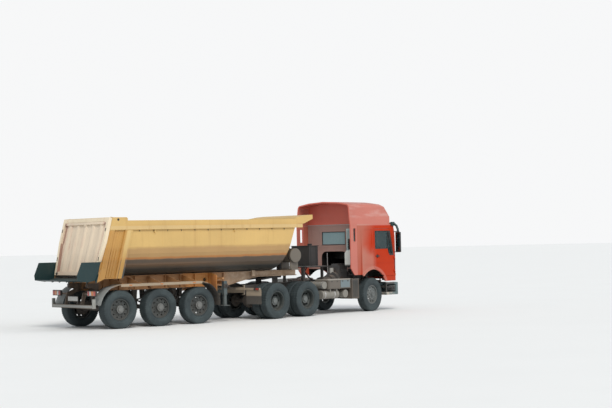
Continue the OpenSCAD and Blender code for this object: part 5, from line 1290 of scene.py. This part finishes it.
def add_cab_trim():
    """Add the cab's grille, pillars, wipers, mirrors, seam, window rubber and indicators."""
    black, light, amber, green, glass = (Shape() for _ in range(5))
    black.box((5.055, -0.779, 1.081), (5.07, 0.779, 1.719))
    for _, s in SIDES:
        black.beside(s, (4.957, 1.16, 1.33), (4.985, 1.179, 1.8), 0.004)
        pivot, tip = on_screen(0.018, s, 0.42, 1.885, 0.0), on_screen(0.02, s, 0.12, 2.3, 0.15)
        black.rod(pivot - Vector((0.03, 0, 0)), pivot + Vector((0.012, 0, 0)), 0.022)
        black.tube([pivot, pivot.lerp(tip, 0.5) + Vector((0.01, 0, 0)), tip], 0.009, 8)
        blade = ((0.012, 0.47, 2.02, 0.5), (0.014, 0.12, 2.3, 0.2), (0.012, -0.2, 2.56, 0.1))
        black.tube([on_screen(ahead, s, y, z, at) for ahead, y, z, at in blade], 0.008, 6)
        green.tube([(4.86, s * 1.12, 2.87), (4.94, s * 1.2, 2.85), (4.985, s * 1.27, 2.77), (4.978, s * 1.325, 2.66),
                    (4.962, s * 1.345, 2.56)], 0.038, 14)
        green.beside(s, (4.8, 1.15, 2.775), (4.965, 1.215, 2.905), 0.014)
        for z0, z1 in ((1.8975, 1.912), (2.548, 2.5625)):
            black.beside(s, (4.927, 1.262, z0), (4.9785, 1.4485, z1), 0.005)
    # A pale strip along the roof's seam on the rear wall: a painted highlight
    light.box((3.243, -1.13, 2.834), (3.2505, 1.13, 2.848), 0.002)
    for z in (2.1935, 2.6065):
        black.box((3.243, -0.505, z - 0.01), (3.262, 0.505, z + 0.01), 0.004)
    black.both((3.243, 0.485, 2.186), (3.262, 0.505, 2.614), 0.004)
    amber.both((5.0, 1.15, 1.12), (5.03, 1.166, 1.2), 0.004)
    black.piece("cab_black", "cab", "trim_black")
    green.piece("mirror_arms", "cab", "trim_black", "mirror_green")
    light.piece("cab_seam", "cab", "cab_red", "intake_grey")
    amber.piece("cab_indicators", "cab", "lamp_clear", "amber_lens")
    for z0, z1 in ((1.925, 2.33), (2.35, 2.54)):
        glass.both((4.9215, 1.274, z0), (4.9255, 1.436, z1), 0.002)
    glass.piece("mirror_glass", "cab", "trim_black", "mirror_glass")


def add_door_trim():
    """Add the doors' window rubbers and handles, and the headlamps' bowls."""
    for side, s in SIDES:
        rubbers, handle = Shape(), Shape()
        ring = [(3.955, 2.03), (3.955, 2.61), (4.65, 2.61), (4.82, 1.87), (4.65, 1.87), (4.6, 2.03), (3.955, 2.03)]
        rubbers.tube([(x, s * (side_y(z) - 0.002), z) for x, z in ring], 0.011, 8)
        rubbers.tube([(4.6, s * (side_y(2.03) - 0.004), 2.03), (4.64, s * (side_y(2.6) - 0.004), 2.605)], 0.011, 8)
        panel = [(4.652, 2.612), (4.742, 2.612), (4.912, 1.8), (4.7, 1.8), (4.655, 1.868), (4.822, 1.868)]
        rubbers.prism(panel, "Y", *sorted((s * 1.1745, s * 1.1835)), 0.003)
        handle.rod((4.06, s * 1.1595, 1.787), (4.06, s * 1.163, 1.787), 0.0555, 32)
        handle.beside(s, (3.955, 1.196, 1.768), (4.135, 1.206, 1.807), 0.004)
        handle.rod((4.17, s * 1.178, 1.787), (4.17, s * 1.184, 1.787), 0.014)
        rubbers.piece("window_rubber_" + side, "door_" + side, "trim_black")
        handle.piece("door_handle_" + side, "door_" + side, "trim_black")
    lamp = Shape()
    lamp.both((5.195, 0.735, 0.64), (5.215, 1.06, 0.76), 0.008)
    for _, s in SIDES:
        for y in (0.82, 0.98):
            lamp.rod((5.16, s * y, 0.7), (5.2, s * y, 0.7), 0.055, 28, 0.068)
    lamp.piece("headlamp_bowls", "tractor", "lamp_clear", "aluminium")


# Interior

SEAT_Y = 0.76
SEAT_LEAN = Matrix.Translation((3.955, 0, 1.83)) @ Matrix.Rotation(math.radians(-9.0), 4, "Y")

# Each pad's low and high corners about its seat's middle, the axis that it swells along, and its place
SEAT_PADS = {
    "cushion": ((3.885, -0.245, 1.69), (4.395, 0.245, 1.838), 2, TRACTOR),
    "back": ((-0.055, -0.235, 0.0), (0.055, 0.235, 0.56), 0, TRACTOR @ SEAT_LEAN),
    "head": ((-0.045, -0.14, 0.575), (0.045, 0.14, 0.7), 0, TRACTOR @ SEAT_LEAN),
}


def add_furniture():
    """Add the seats' bases, dashboard, floor mat, pedals, lever and steering wheel in place of the plain ones."""
    rigid = Shape()
    for y0, y1 in ((-0.99, -0.53), (0.53, 0.99)):
        rigid.box((3.92, y0, 1.44), (4.33, y1, 1.695), 0.02)
    rigid.box((3.3, -1.05, 1.996), (3.76, 1.05, 2.03), 0.01)
    dashboard = [(5.1, 1.78), (4.88, 1.78), (4.7, 1.85), (4.68, 1.97), (4.9, 2.01), (5.07, 1.93)]
    rigid.prism(dashboard, "Y", -1.08, 1.08, 0.012)
    rigid.box((3.8, -1.09, 1.435), (4.98, 1.09, 1.45))
    rigid.box((3.8, -0.45, 1.72), (4.62, 0.45, 1.745), 0.01)
    rigid.rod((4.3, 0.18, 1.74), (4.34, 0.2, 2.02), 0.012, 12)
    rigid.rod((4.336, 0.198, 1.99), (4.344, 0.202, 2.05), 0.026)
    wheel = Matrix.Translation((4.56, SEAT_Y, 2.06)) @ Matrix.Rotation(math.radians(120), 4, "Y")
    rigid.lathe([(0.225 + 0.0145 * math.cos(a), 0.0145 * math.sin(a)) for a in round_steps(12)], 48, wheel)
    rigid.rod((0, 0, -0.012), (0, 0, 0.26), 0.03, 24, matrix=wheel)
    rigid.rod((0, 0, -0.026), (0, 0, -0.01), 0.06, 24, matrix=wheel)
    for a in (math.radians(turn) for turn in (90, 210, 330)):
        inner, outer = ((r * math.cos(a), r * math.sin(a), z) for r, z in ((0.02, -0.004), (0.222, 0.0)))
        rigid.rod(inner, outer, 0.01, 10, matrix=wheel)
    for x, y in ((4.72, 0.6), (4.74, 0.76), (4.72, 0.92)):
        rigid.box((x, y - 0.035, 1.455), (x + 0.02, y + 0.035, 1.6), 0.006)
    rigid.piece("cab_furniture", "cab", "interior", "trim_black", replaces=("cab_interior",))


def fine_box(low, high, bevel, segments, longest):
    """A rounded box whose long edges are cut small enough to bulge."""
    shape = Shape()
    shape.box(low, high, bevel, segments=segments)
    edges = [e for e in shape.mesh.edges if e.calc_length() > longest]
    bmesh.ops.subdivide_edges(shape.mesh, edges=edges, cuts=9, use_grid_fill=True)
    return shape


def add_interior():
    """Add the padded seats and the bunk's mattress."""
    for side, s in SIDES:
        for part, (low, high, thin, place) in SEAT_PADS.items():
            low, high = (Vector(v) + Vector((0, s * SEAT_Y, 0)) for v in (low, high))
            pad = fine_box(low, high, 0.036, 5, 0.06)
            middle, half = (low + high) / 2, (high - low) / 2
            for v in pad.mesh.verts:
                across = [(v.co[k] - middle[k]) / half[k] for k in range(3)]
                swell = math.prod(1.0 - across[k] ** 2 for k in range(3) if k != thin)
                v.co[thin] += 0.02 * swell * across[thin]
            made = pad.piece(f"seat_{part}_{side}", "cab", "interior", "seat_cloth", smooth=60.0, place=place)
    bunk = fine_box((3.305, -1.045, 2.028), (3.755, 1.045, 2.094), 0.024, 4, 0.1)
    for v in bunk.mesh.verts:
        if v.co.z > 2.07:
            v.co.z += 0.016 * (1.0 - ((v.co.x - 3.53) / 0.225) ** 2) * (1.0 - (v.co.y / 1.045) ** 2)
    bunk.piece("bunk_mattress", "cab", "interior", "mattress", smooth=60.0)


# The add-on


class LorryLooks(bpy.types.PropertyGroup):
    """Colours and amounts that a user would change."""

    bed_colour: bpy.props.FloatVectorProperty(
        name="Bed", description="Paint of the bed", default=(0.61, 0.4, 0.14), subtype="COLOR", size=3)
    gate_colour: bpy.props.FloatVectorProperty(
        name="Tailgate", description="Paint of the tailgate", default=(0.7, 0.575, 0.43), subtype="COLOR", size=3)
    cab_colour: bpy.props.FloatVectorProperty(
        name="Cab", description="Paint of the cab", default=(0.46, 0.03, 0.002), subtype="COLOR", size=3)
    roof_colour: bpy.props.FloatVectorProperty(
        name="Roof", description="Faded paint of the high roof", default=(0.52, 0.165, 0.125), subtype="COLOR", size=3)
    floor_colour: bpy.props.FloatVectorProperty(
        name="Floor", description="Colour of the floor", default=(0.8, 0.8, 0.79), subtype="COLOR", size=3)
    dust: bpy.props.FloatProperty(
        name="Dust", description="How much dust lies on the vehicle", default=1.0, min=0.0, max=1.5, subtype="FACTOR")
    lens: bpy.props.FloatProperty(
        name="Lens", description="Focal length of the camera on a 36 mm sensor", default=82.8, min=20.0, max=300.0)
    sky: bpy.props.FloatProperty(
        name="Sky", description="Strength of the light from all round", default=0.66, min=0.0, max=3.0)
    light: bpy.props.FloatProperty(
        name="Lamps", description="Strength of the studio lamps", default=1.0, min=0.0, max=5.0)


def operation(label, work):
    """One Operator class whose execute runs the work, and whose help text is the work's own."""
    name = work.__name__

    def execute(self, context):
        work()
        return {"FINISHED"}

    return type("LORRY_OT_" + name, (bpy.types.Operator,), {
        "__doc__": work.__doc__, "bl_idname": "lorry." + name, "bl_label": label,
        "bl_options": {"REGISTER", "UNDO"}, "execute": execute})


OPERATIONS = [operation(label, work) for label, work in (
    ("Paint the solids", dress_nodes), ("Camera", add_camera), ("Stage", add_stage), ("Wheels", dress_wheels),
    ("Bed", add_bed_trim), ("Tailgate", add_gate_trim), ("Trailer's rear", add_trailer_rear),
    ("Mudguards", add_mudguard_trim), ("Trailer's frame", add_trailer_frame_trim),
    ("Trailer's axles", add_trailer_gear_trim), ("Tractor", add_tractor_trim), ("Tanks", add_tank_trim),
    ("Engine", add_engine_trim), ("Cab", add_cab_trim), ("Doors", add_door_trim), ("Furniture", add_furniture),
    ("Interior", add_interior))]


class LORRY_PT_panel(bpy.types.Panel):
    """Lists the looks and the steps that make the lorry."""

    bl_label = "Lorry"
    bl_idname = "LORRY_PT_panel"
    bl_space_type = "VIEW_3D"
    bl_region_type = "UI"
    bl_category = "Lorry"

    def draw(self, context):
        for key in LorryLooks.__annotations__:
            self.layout.prop(context.scene.lorry_looks, key)
        for made in OPERATIONS:
            self.layout.operator(made.bl_idname)


CLASSES = [LorryLooks, *OPERATIONS, LORRY_PT_panel]


def register():
    for made in CLASSES:
        bpy.utils.register_class(made)
    bpy.types.Scene.lorry_looks = bpy.props.PointerProperty(type=LorryLooks)


def unregister():
    del bpy.types.Scene.lorry_looks
    for made in reversed(CLASSES):
        bpy.utils.unregister_class(made)


def main():
    register()
    for made in OPERATIONS:
        getattr(bpy.ops.lorry, made.bl_idname.split(".")[1])()


if __name__ == "__main__":
    main()
